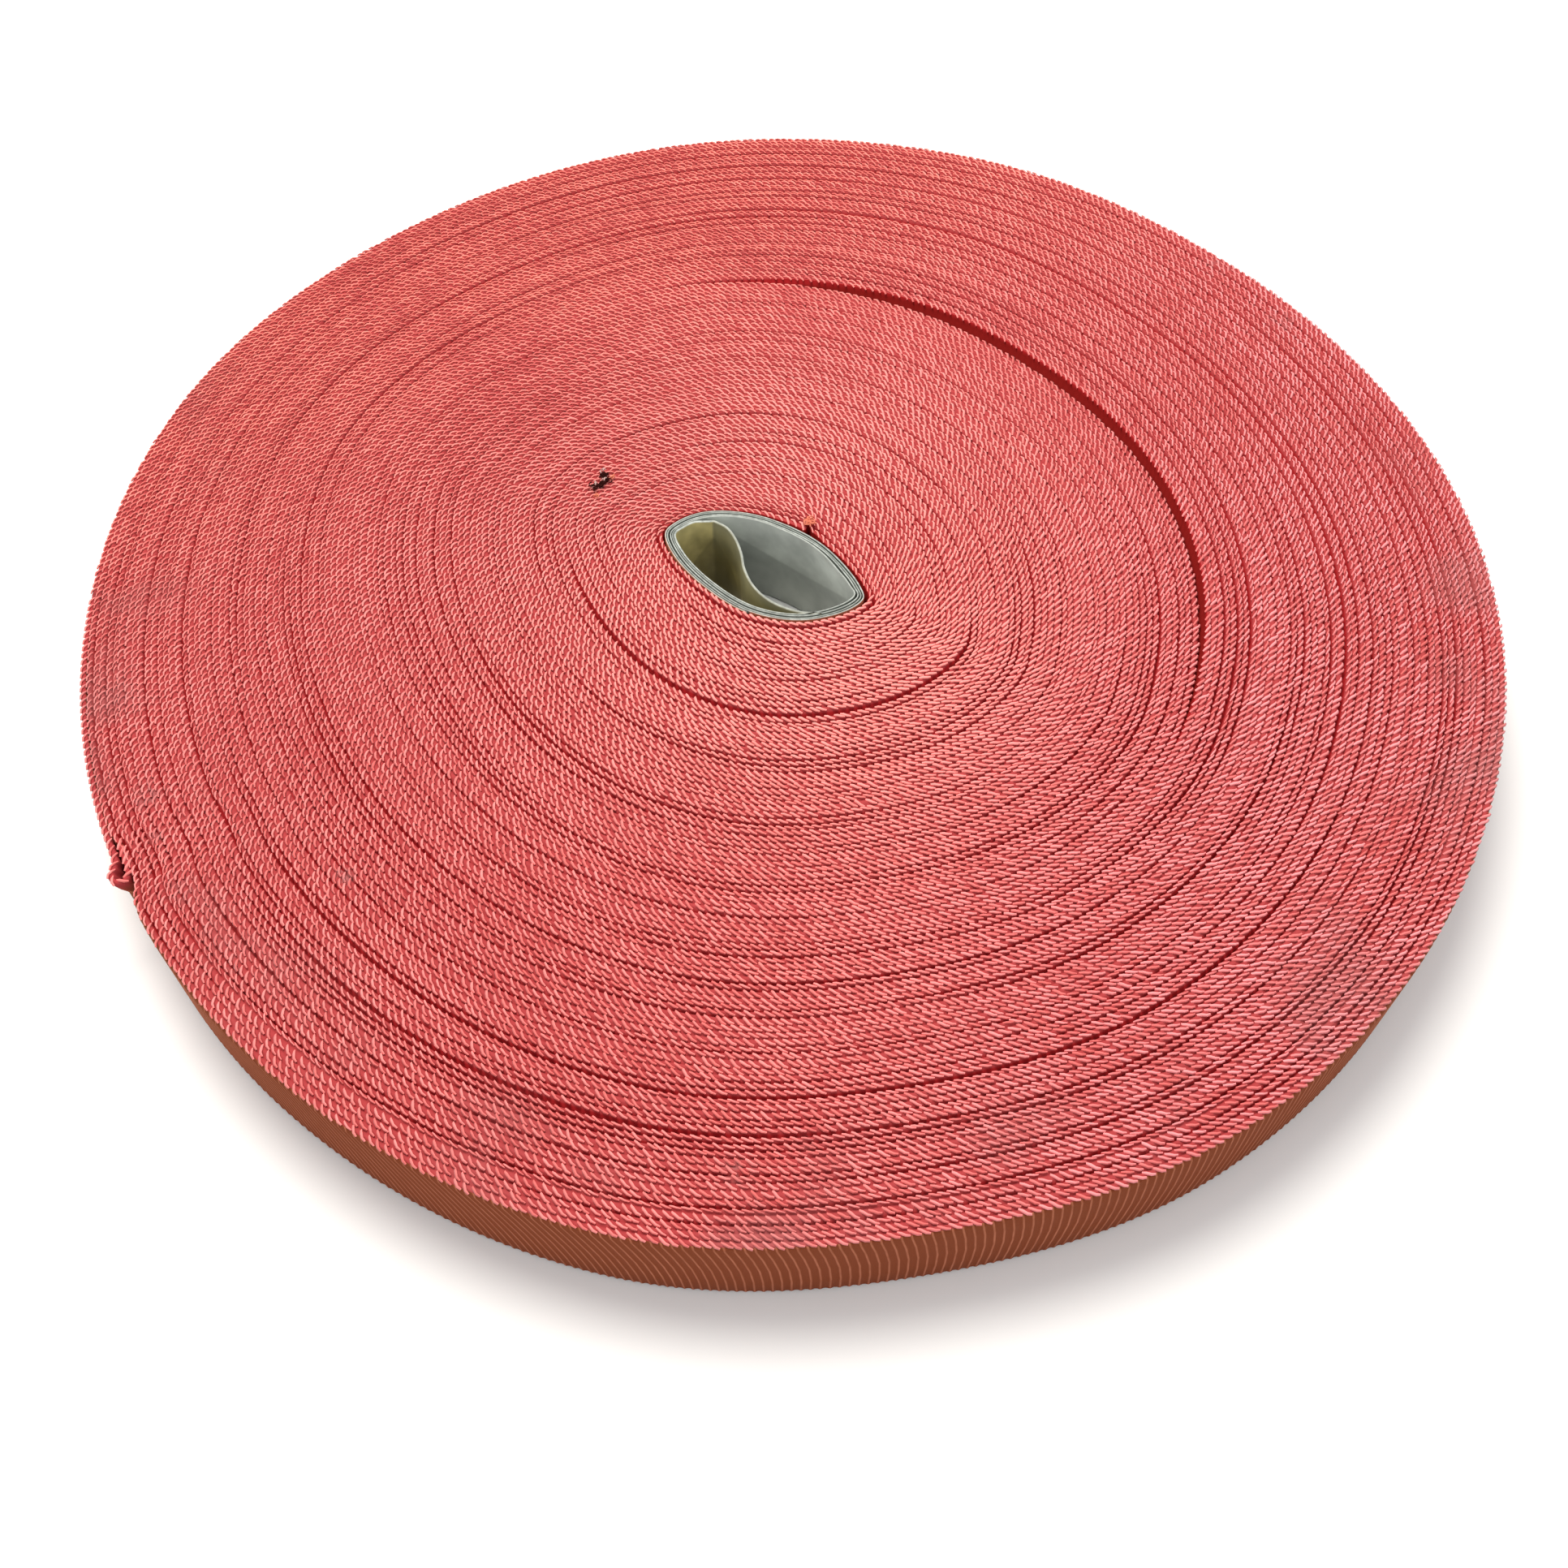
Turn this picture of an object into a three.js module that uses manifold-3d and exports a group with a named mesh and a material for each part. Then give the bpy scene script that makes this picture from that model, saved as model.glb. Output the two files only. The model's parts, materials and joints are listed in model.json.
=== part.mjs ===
// Roll of grosgrain ribbon, wound on edge round a small card core and lying on one face.
// Millimetres, +Z up. The origin is on the surface under the middle of the roll.
import * as THREE from "three";
import { mergeVertices } from "three/addons/utils/BufferGeometryUtils.js";
import Module from "manifold-3d";

const wasm = await Module();
wasm.setup();

// Driving dimensions
const ROLL_RADIUS = 75;
const RIBBON_WIDTH = 12;
const CLEARANCE = 0.3;
const DEGREE = Math.PI / 180;

// How far the rim stands out from a true circle, by direction; smooth between the rows
const RIM_SWELL = [
  { at: 0, swell: 0 },
  { at: 45, swell: -1.1 },
  { at: 72, swell: -0.1 },
  { at: 105, swell: 0.4 },
  { at: 135, swell: -0.15 },
  { at: 160, swell: 0.35 },
  { at: 190, swell: 0 },
  { at: 230, swell: 0.4 },
  { at: 258, swell: 0.6 },
  { at: 281, swell: -0.5 },
  { at: 302, swell: 0.2 },
  { at: 340, swell: -0.1 },
];

// Outline of the card core, a lens with its long axis down to the right
const CORE_OUTLINE = [
  { x: -14.3, y: 4.3 },
  { x: -13.0, y: 6.0 },
  { x: -10.7, y: 7.3 },
  { x: -7.9, y: 7.7 },
  { x: -3.4, y: 6.9 },
  { x: 2.1, y: 3.9 },
  { x: 5.5, y: 0.3 },
  { x: 7.5, y: -3.2 },
  { x: 7.8, y: -4.8 },
  { x: 6.1, y: -6.6 },
  { x: 1.0, y: -8.2 },
  { x: -4.6, y: -7.2 },
  { x: -9.6, y: -3.6 },
  { x: -13.2, y: 0.9 },
];
const CORE_SIZE = 9;
const CORE_HEIGHT = RIBBON_WIDTH;
const CORE_WALL = 1.3;
const WALL_SLACK = 0.04;
const CORE_STEPS = 96;

// Middle line of the core's inner end, which crosses the hole as an S; both ends lie in the wall
const WEB_LINE = [
  { x: -10.9, y: 6.5 },
  { x: -8.9, y: 6.1 },
  { x: -7.5, y: 5.1 },
  { x: -6.5, y: 3.5 },
  { x: -5.8, y: 1.4 },
  { x: -5.4, y: -0.8 },
  { x: -4.5, y: -3.0 },
  { x: -3.1, y: -4.9 },
  { x: -1.2, y: -6.4 },
  { x: 0.9, y: -7.2 },
  { x: 3.0, y: -7.4 },
];
const WEB_THICKNESS = 0.7;
const WEB_STEPS = 40;

// The inner disc stands a little proud at the front, with a groove round it
const DISC = { place: 0.18, rise: 0.5, grooveWidth: 0.5, grooveDepth: 1.0 };
const DISC_WINDOW = { from: 180, full: 205, fade: 320, to: 345 };

// The outer part has slid up at the back right, which leaves an open step
const STEP = { place: 0.545, drift: 0.05, rise: 1.5, grooveWidth: 0.8, grooveDepth: 2.2, rimShare: 0.6 };
const STEP_WINDOW = { from: -42, full: 0, fade: 60, to: 125 };
const STEP_DRIFT = { from: 45, to: 115 };

// The loose end lies in a shallow seat in the rim and is folded back on itself
const END = { root: 186, fold: 211.2, flareFrom: 202, flare: 1.1, thickness: 1, foldRadius: 0.75, tail: 5 };
const SEAT = { from: 185.7, deepest: 212.5, to: 224, rootDepth: 1.3, endDepth: 1.7, edge: 0.4 };
const END_STEPS = 28;
const FOLD_STEPS = 8;
const TAIL_STEPS = 5;

// Places of the plain rings between hole (0) and rim (1)
const TOP_RINGS_DISC = [0, 0.06, 0.12];
const TOP_RINGS_MIDDLE = [0.26, 0.36, 0.46];
const TOP_RINGS_OUTER = [0.66, 0.76, 0.86, 0.96];
const RIM = 1;
const UNDER_RINGS_OUTER = [RIM, 0.86, 0.72];
const UNDER_RING_MIDDLE = 0.36;
const TURN_STEP = 3;
// A groove's floor starts this share of its half width from the middle
const FLOOR_SHARE = 0.5;

function smooth(from, to, value) {
  const t = Math.min(1, Math.max(0, (value - from) / (to - from)));
  return t * t * (3 - 2 * t);
}

// 1 inside a window of directions and 0 outside it, with soft ends
function windowAt(degrees, window) {
  const middle = (window.from + window.to) / 2;
  const near = degrees - 360 * Math.round((degrees - middle) / 360);
  return smooth(window.from, window.full, near) * (1 - smooth(window.fade, window.to, near));
}

function swellAt(degrees) {
  const at = ((degrees % 360) + 360) % 360;
  const rows = [...RIM_SWELL, { ...RIM_SWELL[0], at: 360 }];
  const i = rows.findIndex((row) => row.at > at) - 1;
  const [low, high] = [rows[i], rows[i + 1]];
  return low.swell + (high.swell - low.swell) * smooth(low.at, high.at, at);
}

const rimRadius = (degrees) => ROLL_RADIUS + swellAt(degrees);

function polar(degrees, radius) {
  return new THREE.Vector2(radius * Math.cos(degrees * DEGREE), radius * Math.sin(degrees * DEGREE));
}

function smoothLine(rows, closed, steps) {
  const curve = new THREE.CatmullRomCurve3(
    rows.map((row) => new THREE.Vector3(row.x, row.y, 0)),
    closed,
    "centripetal",
  );
  const points = curve.getSpacedPoints(steps).map((p) => new THREE.Vector2(p.x, p.y));
  if (closed) points.pop();
  return points;
}

// The line moved sideways: to its right for a positive distance
function sideways(points, distance, closed) {
  const n = points.length;
  return points.map((p, i) => {
    const before = points[closed ? (i + n - 1) % n : Math.max(0, i - 1)];
    const after = points[closed ? (i + 1) % n : Math.min(n - 1, i + 1)];
    const along = after.clone().sub(before).normalize();
    return new THREE.Vector2(p.x + along.y * distance, p.y - along.x * distance);
  });
}

function upright(points, holes, low, high) {
  const shape = new THREE.Shape(THREE.ShapeUtils.isClockWise(points) ? [...points].reverse() : points);
  shape.holes = holes.map((hole) => new THREE.Path(hole));
  const solid = new THREE.ExtrudeGeometry(shape, { depth: high - low, bevelEnabled: false });
  return solid.translate(0, 0, low);
}

// A strip on edge along a line
function stripOnEdge(line, thickness, low, high) {
  const right = sideways(line, thickness / 2, false);
  const left = sideways(line, -thickness / 2, false);
  return upright([...right, ...left.reverse()], [], low, high);
}

function toSolid(geometry) {
  const bare = geometry.clone();
  bare.deleteAttribute("normal");
  bare.deleteAttribute("uv");
  const merged = mergeVertices(bare, 1e-4);
  return new wasm.Manifold(
    new wasm.Mesh({
      numProp: 3,
      vertProperties: new Float32Array(merged.attributes.position.array),
      triVerts: new Uint32Array(merged.index.array),
    }),
  );
}

function toGeometry(solid) {
  const mesh = solid.getMesh();
  const geometry = new THREE.BufferGeometry();
  geometry.setAttribute("position", new THREE.BufferAttribute(new Float32Array(mesh.vertProperties), 3));
  geometry.setIndex(new THREE.BufferAttribute(new Uint32Array(mesh.triVerts), 1));
  geometry.computeVertexNormals();
  return geometry;
}

// Closed loops one after another, the last joined back to the first
function ringBody(loops) {
  const around = loops[0].length;
  const position = loops.flat().flatMap((p) => [p.x, p.y, p.z]);
  const index = [];
  loops.forEach((_, row) => {
    const next = (row + 1) % loops.length;
    for (let i = 0; i < around; i++) {
      const j = (i + 1) % around;
      const [a, b] = [row * around + i, row * around + j];
      const [c, d] = [next * around + i, next * around + j];
      index.push(a, b, d, a, d, c);
    }
  });
  const geometry = new THREE.BufferGeometry();
  geometry.setAttribute("position", new THREE.Float32BufferAttribute(position, 3));
  geometry.setIndex(index);
  geometry.computeVertexNormals();
  return geometry;
}

const coreLine = smoothLine(CORE_OUTLINE, true, CORE_STEPS);

// Distance from the middle of the roll to the core's outline, by direction
function coreRadius(degrees) {
  const ray = polar(degrees, 1);
  const n = coreLine.length;
  let radius = 0;
  coreLine.forEach((a, i) => {
    const b = coreLine[(i + 1) % n];
    const edge = b.clone().sub(a);
    const cross = ray.cross(edge);
    if (Math.abs(cross) < 1e-9) return;
    const along = a.cross(edge) / cross;
    const share = a.cross(ray) / cross;
    if (along > 0 && share >= 0 && share <= 1) radius = Math.max(radius, along);
  });
  return radius;
}

function seatDepth(degrees) {
  if (degrees < SEAT.from) return 0;
  const t = Math.min(1, (degrees - SEAT.from) / (SEAT.deepest - SEAT.from));
  const depth = SEAT.rootDepth + (SEAT.endDepth - SEAT.rootDepth) * t;
  return depth * (1 - smooth(SEAT.deepest, SEAT.to, degrees));
}

// Directions of the grid, closer together at the root of the seat
function directions() {
  const list = [SEAT.from - SEAT.edge / 2, SEAT.from + SEAT.edge / 2];
  for (let at = 0; at < 360; at += TURN_STEP) list.push(at);
  return list.sort((a, b) => a - b);
}

function ribbonRoll() {
  const angles = directions();
  const hole = angles.map((at) => coreRadius(at) + CLEARANCE);
  // Half of a groove's width, as a share of the way from hole to rim
  const half = (width) => width / 2 / (ROLL_RADIUS - CORE_SIZE);
  const discRise = (at) => DISC.rise * windowAt(at, DISC_WINDOW);
  const stepRise = (at) => STEP.rise * windowAt(at, STEP_WINDOW);
  const stepPlace = (at) => STEP.place + STEP.drift * smooth(STEP_DRIFT.from, STEP_DRIFT.to, at > 180 ? at - 360 : at);
  const outerRise = (at, place) => {
    const t = (place - STEP.place) / (1 - STEP.place);
    return stepRise(at) * (1 + (STEP.rimShare - 1) * Math.min(1, Math.max(0, t)));
  };
  // One loop: place and height for each direction
  const loop = (placeAt, heightAt) =>
    angles.map((at, i) => {
      const place = placeAt(at);
      const rim = rimRadius(at) - (place === RIM ? seatDepth(at) : 0);
      const flat = polar(at, hole[i] + (rim - hole[i]) * place);
      return new THREE.Vector3(flat.x, flat.y, heightAt(at, place));
    });
  const top = [];
  for (const place of TOP_RINGS_DISC) top.push(loop(() => place, (at) => RIBBON_WIDTH + discRise(at)));
  const discHalf = half(DISC.grooveWidth);
  const discFloor = (at) => RIBBON_WIDTH - DISC.grooveDepth * windowAt(at, DISC_WINDOW);
  top.push(loop(() => DISC.place - discHalf, (at) => RIBBON_WIDTH + discRise(at)));
  top.push(loop(() => DISC.place - discHalf * FLOOR_SHARE, discFloor));
  top.push(loop(() => DISC.place + discHalf * FLOOR_SHARE, discFloor));
  top.push(loop(() => DISC.place + discHalf, () => RIBBON_WIDTH));
  for (const place of TOP_RINGS_MIDDLE) top.push(loop(() => place, () => RIBBON_WIDTH));
  const stepHalf = half(STEP.grooveWidth);
  const stepFloor = (at) => RIBBON_WIDTH - STEP.grooveDepth * windowAt(at, STEP_WINDOW);
  top.push(loop((at) => stepPlace(at) - stepHalf, () => RIBBON_WIDTH));
  top.push(loop((at) => stepPlace(at) - stepHalf * FLOOR_SHARE, stepFloor));
  top.push(loop((at) => stepPlace(at) + stepHalf * FLOOR_SHARE, stepFloor));
  top.push(loop((at) => stepPlace(at) + stepHalf, (at) => RIBBON_WIDTH + stepRise(at)));
  for (const place of [...TOP_RINGS_OUTER, RIM]) {
    top.push(loop(() => place, (at) => RIBBON_WIDTH + outerRise(at, place)));
  }
  // The underside is flat on the surface, except where the turns have slid up
  const under = [];
  for (const place of UNDER_RINGS_OUTER) under.push(loop(() => place, (at) => outerRise(at, place)));
  under.push(loop((at) => stepPlace(at) + stepHalf, stepRise));
  under.push(loop((at) => stepPlace(at) - stepHalf, () => 0));
  under.push(loop(() => UNDER_RING_MIDDLE, () => 0));
  under.push(loop(() => DISC.place + discHalf, () => 0));
  under.push(loop(() => DISC.place - discHalf, discRise));
  under.push(loop(() => 0, discRise));
  return ringBody([...top, ...under].reverse());
}

function looseEnd() {
  const line = [];
  const flareAt = (at) => END.flare * smooth(END.flareFrom, END.fold, at);
  const legRadius = (at) => rimRadius(at) - END.thickness / 2 + flareAt(at);
  for (let i = 0; i <= END_STEPS; i++) {
    const at = END.root + ((END.fold - END.root) * i) / END_STEPS;
    line.push(polar(at, legRadius(at)));
  }
  const tip = line[line.length - 1];
  const outward = polar(END.fold, 1);
  const onward = new THREE.Vector2(-outward.y, outward.x);
  const centre = tip.clone().addScaledVector(outward, -END.foldRadius);
  for (let i = 1; i <= FOLD_STEPS; i++) {
    const turn = (Math.PI * i) / FOLD_STEPS;
    line.push(
      centre
        .clone()
        .addScaledVector(outward, END.foldRadius * Math.cos(turn))
        .addScaledVector(onward, END.foldRadius * Math.sin(turn)),
    );
  }
  const tailTurn = END.tail / ROLL_RADIUS / DEGREE;
  for (let i = 1; i <= TAIL_STEPS; i++) {
    const at = END.fold - (tailTurn * i) / TAIL_STEPS;
    const inside = Math.min(legRadius(at), legRadius(END.fold)) - 2 * END.foldRadius;
    line.push(polar(at, Math.max(inside, rimRadius(at) - SEAT.endDepth + CLEARANCE + END.thickness / 2)));
  }
  return stripOnEdge(line, END.thickness, 0, RIBBON_WIDTH);
}

// The line moved inwards, less the points that cross over at its tight ends
function inset(points, distance) {
  const clear = (p) => Math.min(...points.map((q) => p.distanceTo(q))) > distance - WALL_SLACK;
  return sideways(points, distance, true).filter(clear);
}

function core() {
  const inside = inset(coreLine, CORE_WALL);
  const wall = toSolid(upright(coreLine, [inside], 0, CORE_HEIGHT));
  const web = toSolid(stripOnEdge(smoothLine(WEB_LINE, false, WEB_STEPS), WEB_THICKNESS, 0, CORE_HEIGHT));
  return toGeometry(wall.add(web));
}

const ribbon = new THREE.MeshStandardMaterial({ color: 0xe0706a, roughness: 0.85, metalness: 0 });
const card = new THREE.MeshStandardMaterial({ color: 0x8c9290, roughness: 0.6, metalness: 0 });

function named(name, geometry, material) {
  const mesh = new THREE.Mesh(geometry, material);
  mesh.name = name;
  return mesh;
}

const roll = new THREE.Group();
roll.add(
  named("ribbon_roll", ribbonRoll(), ribbon),
  named("loose_end", looseEnd(), ribbon),
  named("core", core(), card),
);

export default roll;
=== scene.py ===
"""Roll of grosgrain ribbon: the turns, their selvedge loops, the loose end, the card core and the stage."""

import json
import math

import bpy
import numpy as np
from mathutils import Matrix, Vector

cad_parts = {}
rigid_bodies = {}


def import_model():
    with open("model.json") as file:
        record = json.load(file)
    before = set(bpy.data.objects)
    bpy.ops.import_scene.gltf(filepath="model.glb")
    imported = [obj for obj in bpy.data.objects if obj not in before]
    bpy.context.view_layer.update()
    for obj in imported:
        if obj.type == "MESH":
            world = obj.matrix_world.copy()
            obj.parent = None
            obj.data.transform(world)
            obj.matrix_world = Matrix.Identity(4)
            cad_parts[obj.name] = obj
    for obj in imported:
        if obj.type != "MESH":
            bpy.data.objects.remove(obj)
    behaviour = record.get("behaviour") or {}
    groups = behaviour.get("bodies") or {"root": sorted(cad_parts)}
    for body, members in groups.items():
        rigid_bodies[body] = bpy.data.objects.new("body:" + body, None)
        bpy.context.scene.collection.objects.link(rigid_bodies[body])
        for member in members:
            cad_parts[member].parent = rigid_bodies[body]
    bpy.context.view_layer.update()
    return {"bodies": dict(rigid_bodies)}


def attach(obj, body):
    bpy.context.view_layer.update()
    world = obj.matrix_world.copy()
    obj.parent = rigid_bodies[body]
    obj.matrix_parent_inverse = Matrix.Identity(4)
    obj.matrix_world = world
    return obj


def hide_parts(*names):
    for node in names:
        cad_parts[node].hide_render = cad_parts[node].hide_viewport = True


bl_info = {
    "name": "Roll of grosgrain ribbon",
    "version": (1, 0, 0),
    "blender": (4, 5, 0),
    "location": "View3D > Sidebar > Ribbon Roll",
    "description": "Builds a flat roll of ribbed ribbon round a card core, with its stage",
    "category": "Object",
}

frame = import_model()
BODY = next(iter(frame["bodies"]))

# Lengths here are in millimetres and directions in degrees, counter-clockwise from +X seen from above
MM = 0.001
ROLL_RADIUS = 75.0
RIBBON_WIDTH = 12.0
CLEARANCE = 0.14

# How far the rim stands out from a true circle, by direction; smooth between the rows
RIM_SWELL = [
    {"at": 0, "swell": 0},
    {"at": 45, "swell": -1.1},
    {"at": 72, "swell": -0.1},
    {"at": 105, "swell": 0.4},
    {"at": 135, "swell": -0.15},
    {"at": 160, "swell": 0.35},
    {"at": 190, "swell": 0},
    {"at": 230, "swell": 0.4},
    {"at": 258, "swell": 0.6},
    {"at": 281, "swell": -0.5},
    {"at": 302, "swell": 0.2},
    {"at": 340, "swell": -0.1},
    {"at": 360, "swell": 0},
]

# Outline of the card core, a lens with its long axis down to the right
CORE_OUTLINE = [
    (-14.3, 4.3),
    (-13.0, 6.0),
    (-10.7, 7.3),
    (-7.9, 7.7),
    (-3.4, 6.9),
    (2.1, 3.9),
    (5.5, 0.3),
    (7.5, -3.2),
    (7.8, -4.8),
    (6.1, -6.6),
    (1.0, -8.2),
    (-4.6, -7.2),
    (-9.6, -3.6),
    (-13.2, 0.9),
]
CORE_WALL = 1.3
CORE_TIP = -30.0
CARD_STEP = 0.35
# Painted shade on the S's left side in the left chamber: how far its olive is darkened
WEB_DIM = 0.6
WEB_EDGE = 0.45

# Middle line of the card's inner end, which crosses the hole as an S
WEB_LINE = [
    (3.0, -6.9),
    (0.9, -6.8),
    (-1.2, -6.1),
    (-3.1, -4.8),
    (-4.5, -3.0),
    (-5.4, -0.8),
    (-5.8, 1.4),
    (-6.5, 3.5),
    (-7.5, 5.1),
    (-8.9, 6.0),
]

# The ribbon starts at START against the core and leaves the roll after TURNS turns
START = 77.0
TURNS = 96.3
PLACES = TURNS + 1

# The inner disc stands a little proud at the front, with a groove round it
DISC = {"place": 0.18, "middle": 262, "rise": 0.34, "gap": 0.26, "depth": 0.6, "reach": 3.0}
DISC_WINDOW = {"from": 165, "full": 205, "fade": 320, "to": 352}

# The outer part has slid up at the back right, which leaves an open step
STEP = {"place": 0.545, "middle": 5, "rise": 1.3, "gap": 0.3, "depth": 0.35, "reach": 4.0, "rim_share": 0.6}
STEP_MIDDLE = 20
STEP_WINDOW = {"from": -44, "full": -8, "fade": 60, "to": 125}

# At the back the turns lie further out, most of all along the step
DRIFT = 0.05
DRIFT_WINDOW = {"from": 45, "full": 115, "fade": 130, "to": 230}

# The seat in the rim under the loose end, and the swelling that takes up the ribbon's own thickness
SEAT = {"from": 208.7, "full": 210.4, "fade": 213.0, "to": 215.2, "depth": 0.65, "reach": 9.0}
TAKE_UP = {"from": 213, "to": 217, "reach": 8.0}

# At the core the first turn lies tight until it climbs over its own cut end, and it is slack at the back
TAKE_IN = {"climb": 0.022, "reach": 7.0}
BACK_SLACK = 0.5
GROOVE = 0.25
BACK_WINDOW = {"from": 35, "full": 80, "fade": 110, "to": 160}

# Joints between turns that have opened: place between hole and rim, direction of the middle,
# degrees covered, width of the gap, and how much higher the outer side stands
PARTINGS = [
    {"place": 0.274, "middle": 258, "span": 110, "gap": 0.18, "drop": -0.10},
    {"place": 0.338, "middle": 250, "span": 90, "gap": 0.05, "drop": 0.05},
    {"place": 0.378, "middle": 250, "span": 120, "gap": 0.14, "drop": -0.08},
    {"place": 0.425, "middle": 300, "span": 90, "gap": 0.07, "drop": 0.04},
    {"place": 0.475, "middle": 262, "span": 130, "gap": 0.14, "drop": 0.08},
    {"place": 0.530, "middle": 235, "span": 100, "gap": 0.07, "drop": -0.05},
    {"place": 0.576, "middle": 272, "span": 120, "gap": 0.10, "drop": 0.07},
    {"place": 0.635, "middle": 265, "span": 140, "gap": 0.11, "drop": -0.07},
    {"place": 0.677, "middle": 285, "span": 110, "gap": 0.10, "drop": 0.06},
    {"place": 0.735, "middle": 262, "span": 120, "gap": 0.12, "drop": 0.06},
    {"place": 0.793, "middle": 268, "span": 150, "gap": 0.24, "drop": -0.12},
    {"place": 0.849, "middle": 262, "span": 110, "gap": 0.10, "drop": 0.05},
    {"place": 0.870, "middle": 255, "span": 80, "gap": 0.09, "drop": 0.05},
    {"place": 0.903, "middle": 275, "span": 120, "gap": 0.10, "drop": -0.06},
    {"place": 0.945, "middle": 262, "span": 110, "gap": 0.13, "drop": 0.05},
    {"place": 0.965, "middle": 290, "span": 110, "gap": 0.09, "drop": 0.04},
    {"place": 0.899, "middle": 0, "span": 90, "gap": 0.14, "drop": 0.08},
    {"place": 0.925, "middle": 345, "span": 80, "gap": 0.12, "drop": -0.07},
    {"place": 0.775, "middle": 20, "span": 100, "gap": 0.10, "drop": 0.07},
    {"place": 0.640, "middle": 40, "span": 70, "gap": 0.12, "drop": 0.10},
    {"place": 0.565, "middle": 75, "span": 60, "gap": 0.10, "drop": 0.08},
    {"place": 0.720, "middle": 88, "span": 80, "gap": 0.14, "drop": 0.08},
    {"place": 0.820, "middle": 95, "span": 90, "gap": 0.12, "drop": 0.07},
    {"place": 0.900, "middle": 100, "span": 100, "gap": 0.12, "drop": 0.08},
    {"place": 0.480, "middle": 125, "span": 80, "gap": 0.10, "drop": 0.06},
    {"place": 0.600, "middle": 150, "span": 90, "gap": 0.10, "drop": 0.06},
    {"place": 0.745, "middle": 160, "span": 90, "gap": 0.10, "drop": 0.06},
    {"place": 0.840, "middle": 185, "span": 110, "gap": 0.12, "drop": 0.06},
    {"place": 0.900, "middle": 200, "span": 90, "gap": 0.12, "drop": 0.07},
    {"place": 0.962, "middle": 200, "span": 60, "gap": 0.14, "drop": 0.05},
    {"place": 0.980, "middle": 200, "span": 50, "gap": 0.18, "drop": -0.05},
]

# Faint openings all over the roll: their laps, how many to a lap, their spans, gaps and stray in height
FAINT = {"from": 3, "to": 95, "each": 3, "short": 30, "long": 150, "shut": -0.03, "wide": 0.12, "stray": 0.04}

# In the outer part every other joint is open at the back, where an opening's outer side stands higher
SLACK = {"place": 0.56, "middle": 52, "stray": 14, "span": 170, "low": 0.14, "high": 0.28, "tilt": 0.08}
SEED = 11

# How far the foot of each rib on the rim has slid round, by direction
RIB_LEAN = [
    {"at": 0, "lean": 0.0},
    {"at": 186, "lean": 1.5},
    {"at": 215, "lean": 3.5},
    {"at": 248, "lean": 4.2},
    {"at": 272, "lean": 1.4},
    {"at": 292, "lean": 0.0},
    {"at": 360, "lean": 0.0},
]
RIB_BOW = 0.5

# Slow random changes along the ribbon: joints' places, turns' heights, and loops' places in pitches
UNEVEN = {"seed": 3, "knots": 2.2, "size": 0.06}
RIPPLE = {"seed": 1, "knots": 2.5, "size": 0.025}
HEAVE = {"seed": 2, "knots": 0.6, "size": 0.03}
CREEP = {"seed": 6, "knots": 1.3, "size": 0.4}

# A closed joint is a shallow trough, and an open one goes deeper by this many times its gap, up to a limit
JOINT_DEPTH = 0.2
PARTING_STEEPNESS = 3.5
PARTING_DEPTH = 0.6

# The joint between the ribbon's first turn and its second is parted all round: where it opens and closes
FIRST_PARTING = {"from": 0.9, "full": 1.1, "fade": 1.9, "to": 2.3}

# The loose end: it leaves the rim, flares out and is folded back inside on itself
END = {"fold": 212.5, "flare_from": 210.9, "flare": 1.0, "tight": 0.36, "open": 0.44, "tail": 3.2}
FLARED_SHARE = (0.70, 0.98)


def smooth(low, high, value):
    """0 at low and 1 at high, with a soft start and end."""
    t = np.clip((value - low) / (high - low), 0, 1)
    return t * t * (3 - 2 * t)


def near(degrees, middle):
    """The same directions, within half a turn of the middle."""
    return degrees - 360 * np.round((degrees - middle) / 360)


def window_at(degrees, window):
    """1 inside a window of directions and 0 outside it, with soft ends."""
    at = near(degrees, (window["from"] + window["to"]) / 2)
    return smooth(window["from"], window["full"], at) * (1 - smooth(window["fade"], window["to"], at))


def polar(degrees, radius):
    """X and Y of a place given by its direction and radius."""
    return radius * np.cos(np.radians(degrees)), radius * np.sin(np.radians(degrees))


def smooth_line(points, closed, steps):
    """Centripetal Catmull-Rom line through the points, with this many steps to a stretch."""
    points = [np.array(p, float) for p in points]
    if closed:
        knots = [points[-1], *points, points[0], points[1]]
    else:
        knots = [2 * points[0] - points[1], *points, 2 * points[-1] - points[-2]]
    line = []
    for a, b, c, d in zip(knots, knots[1:], knots[2:], knots[3:]):
        ab, bc, cd = (math.sqrt(np.linalg.norm(q - p)) for p, q in ((a, b), (b, c), (c, d)))
        leave = ((b - a) / ab - (c - a) / (ab + bc) + (c - b) / bc) * bc
        arrive = ((c - b) / bc - (d - b) / (bc + cd) + (d - c) / cd) * bc
        for t in np.arange(steps) / steps:
            along = (2 * t**3 - 3 * t**2 + 1) * b + (t**3 - 2 * t**2 + t) * leave
            line.append(along + (3 * t**2 - 2 * t**3) * c + (t**3 - t**2) * arrive)
    if not closed:
        line.append(points[-1])
    return np.array(line)


def core_polar():
    """Directions and radii of the core's outline, sorted by direction."""
    line = smooth_line(CORE_OUTLINE, True, 24)
    degrees = np.degrees(np.arctan2(line[:, 1], line[:, 0])) % 360
    order = np.argsort(degrees)
    return degrees[order], np.hypot(line[:, 0], line[:, 1])[order]


CORE_DIRECTIONS, CORE_RADII = core_polar()


def core_radius(degrees):
    """Radius of the core's outline in each direction."""
    return np.interp(degrees % 360, CORE_DIRECTIONS, CORE_RADII, period=360)


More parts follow.
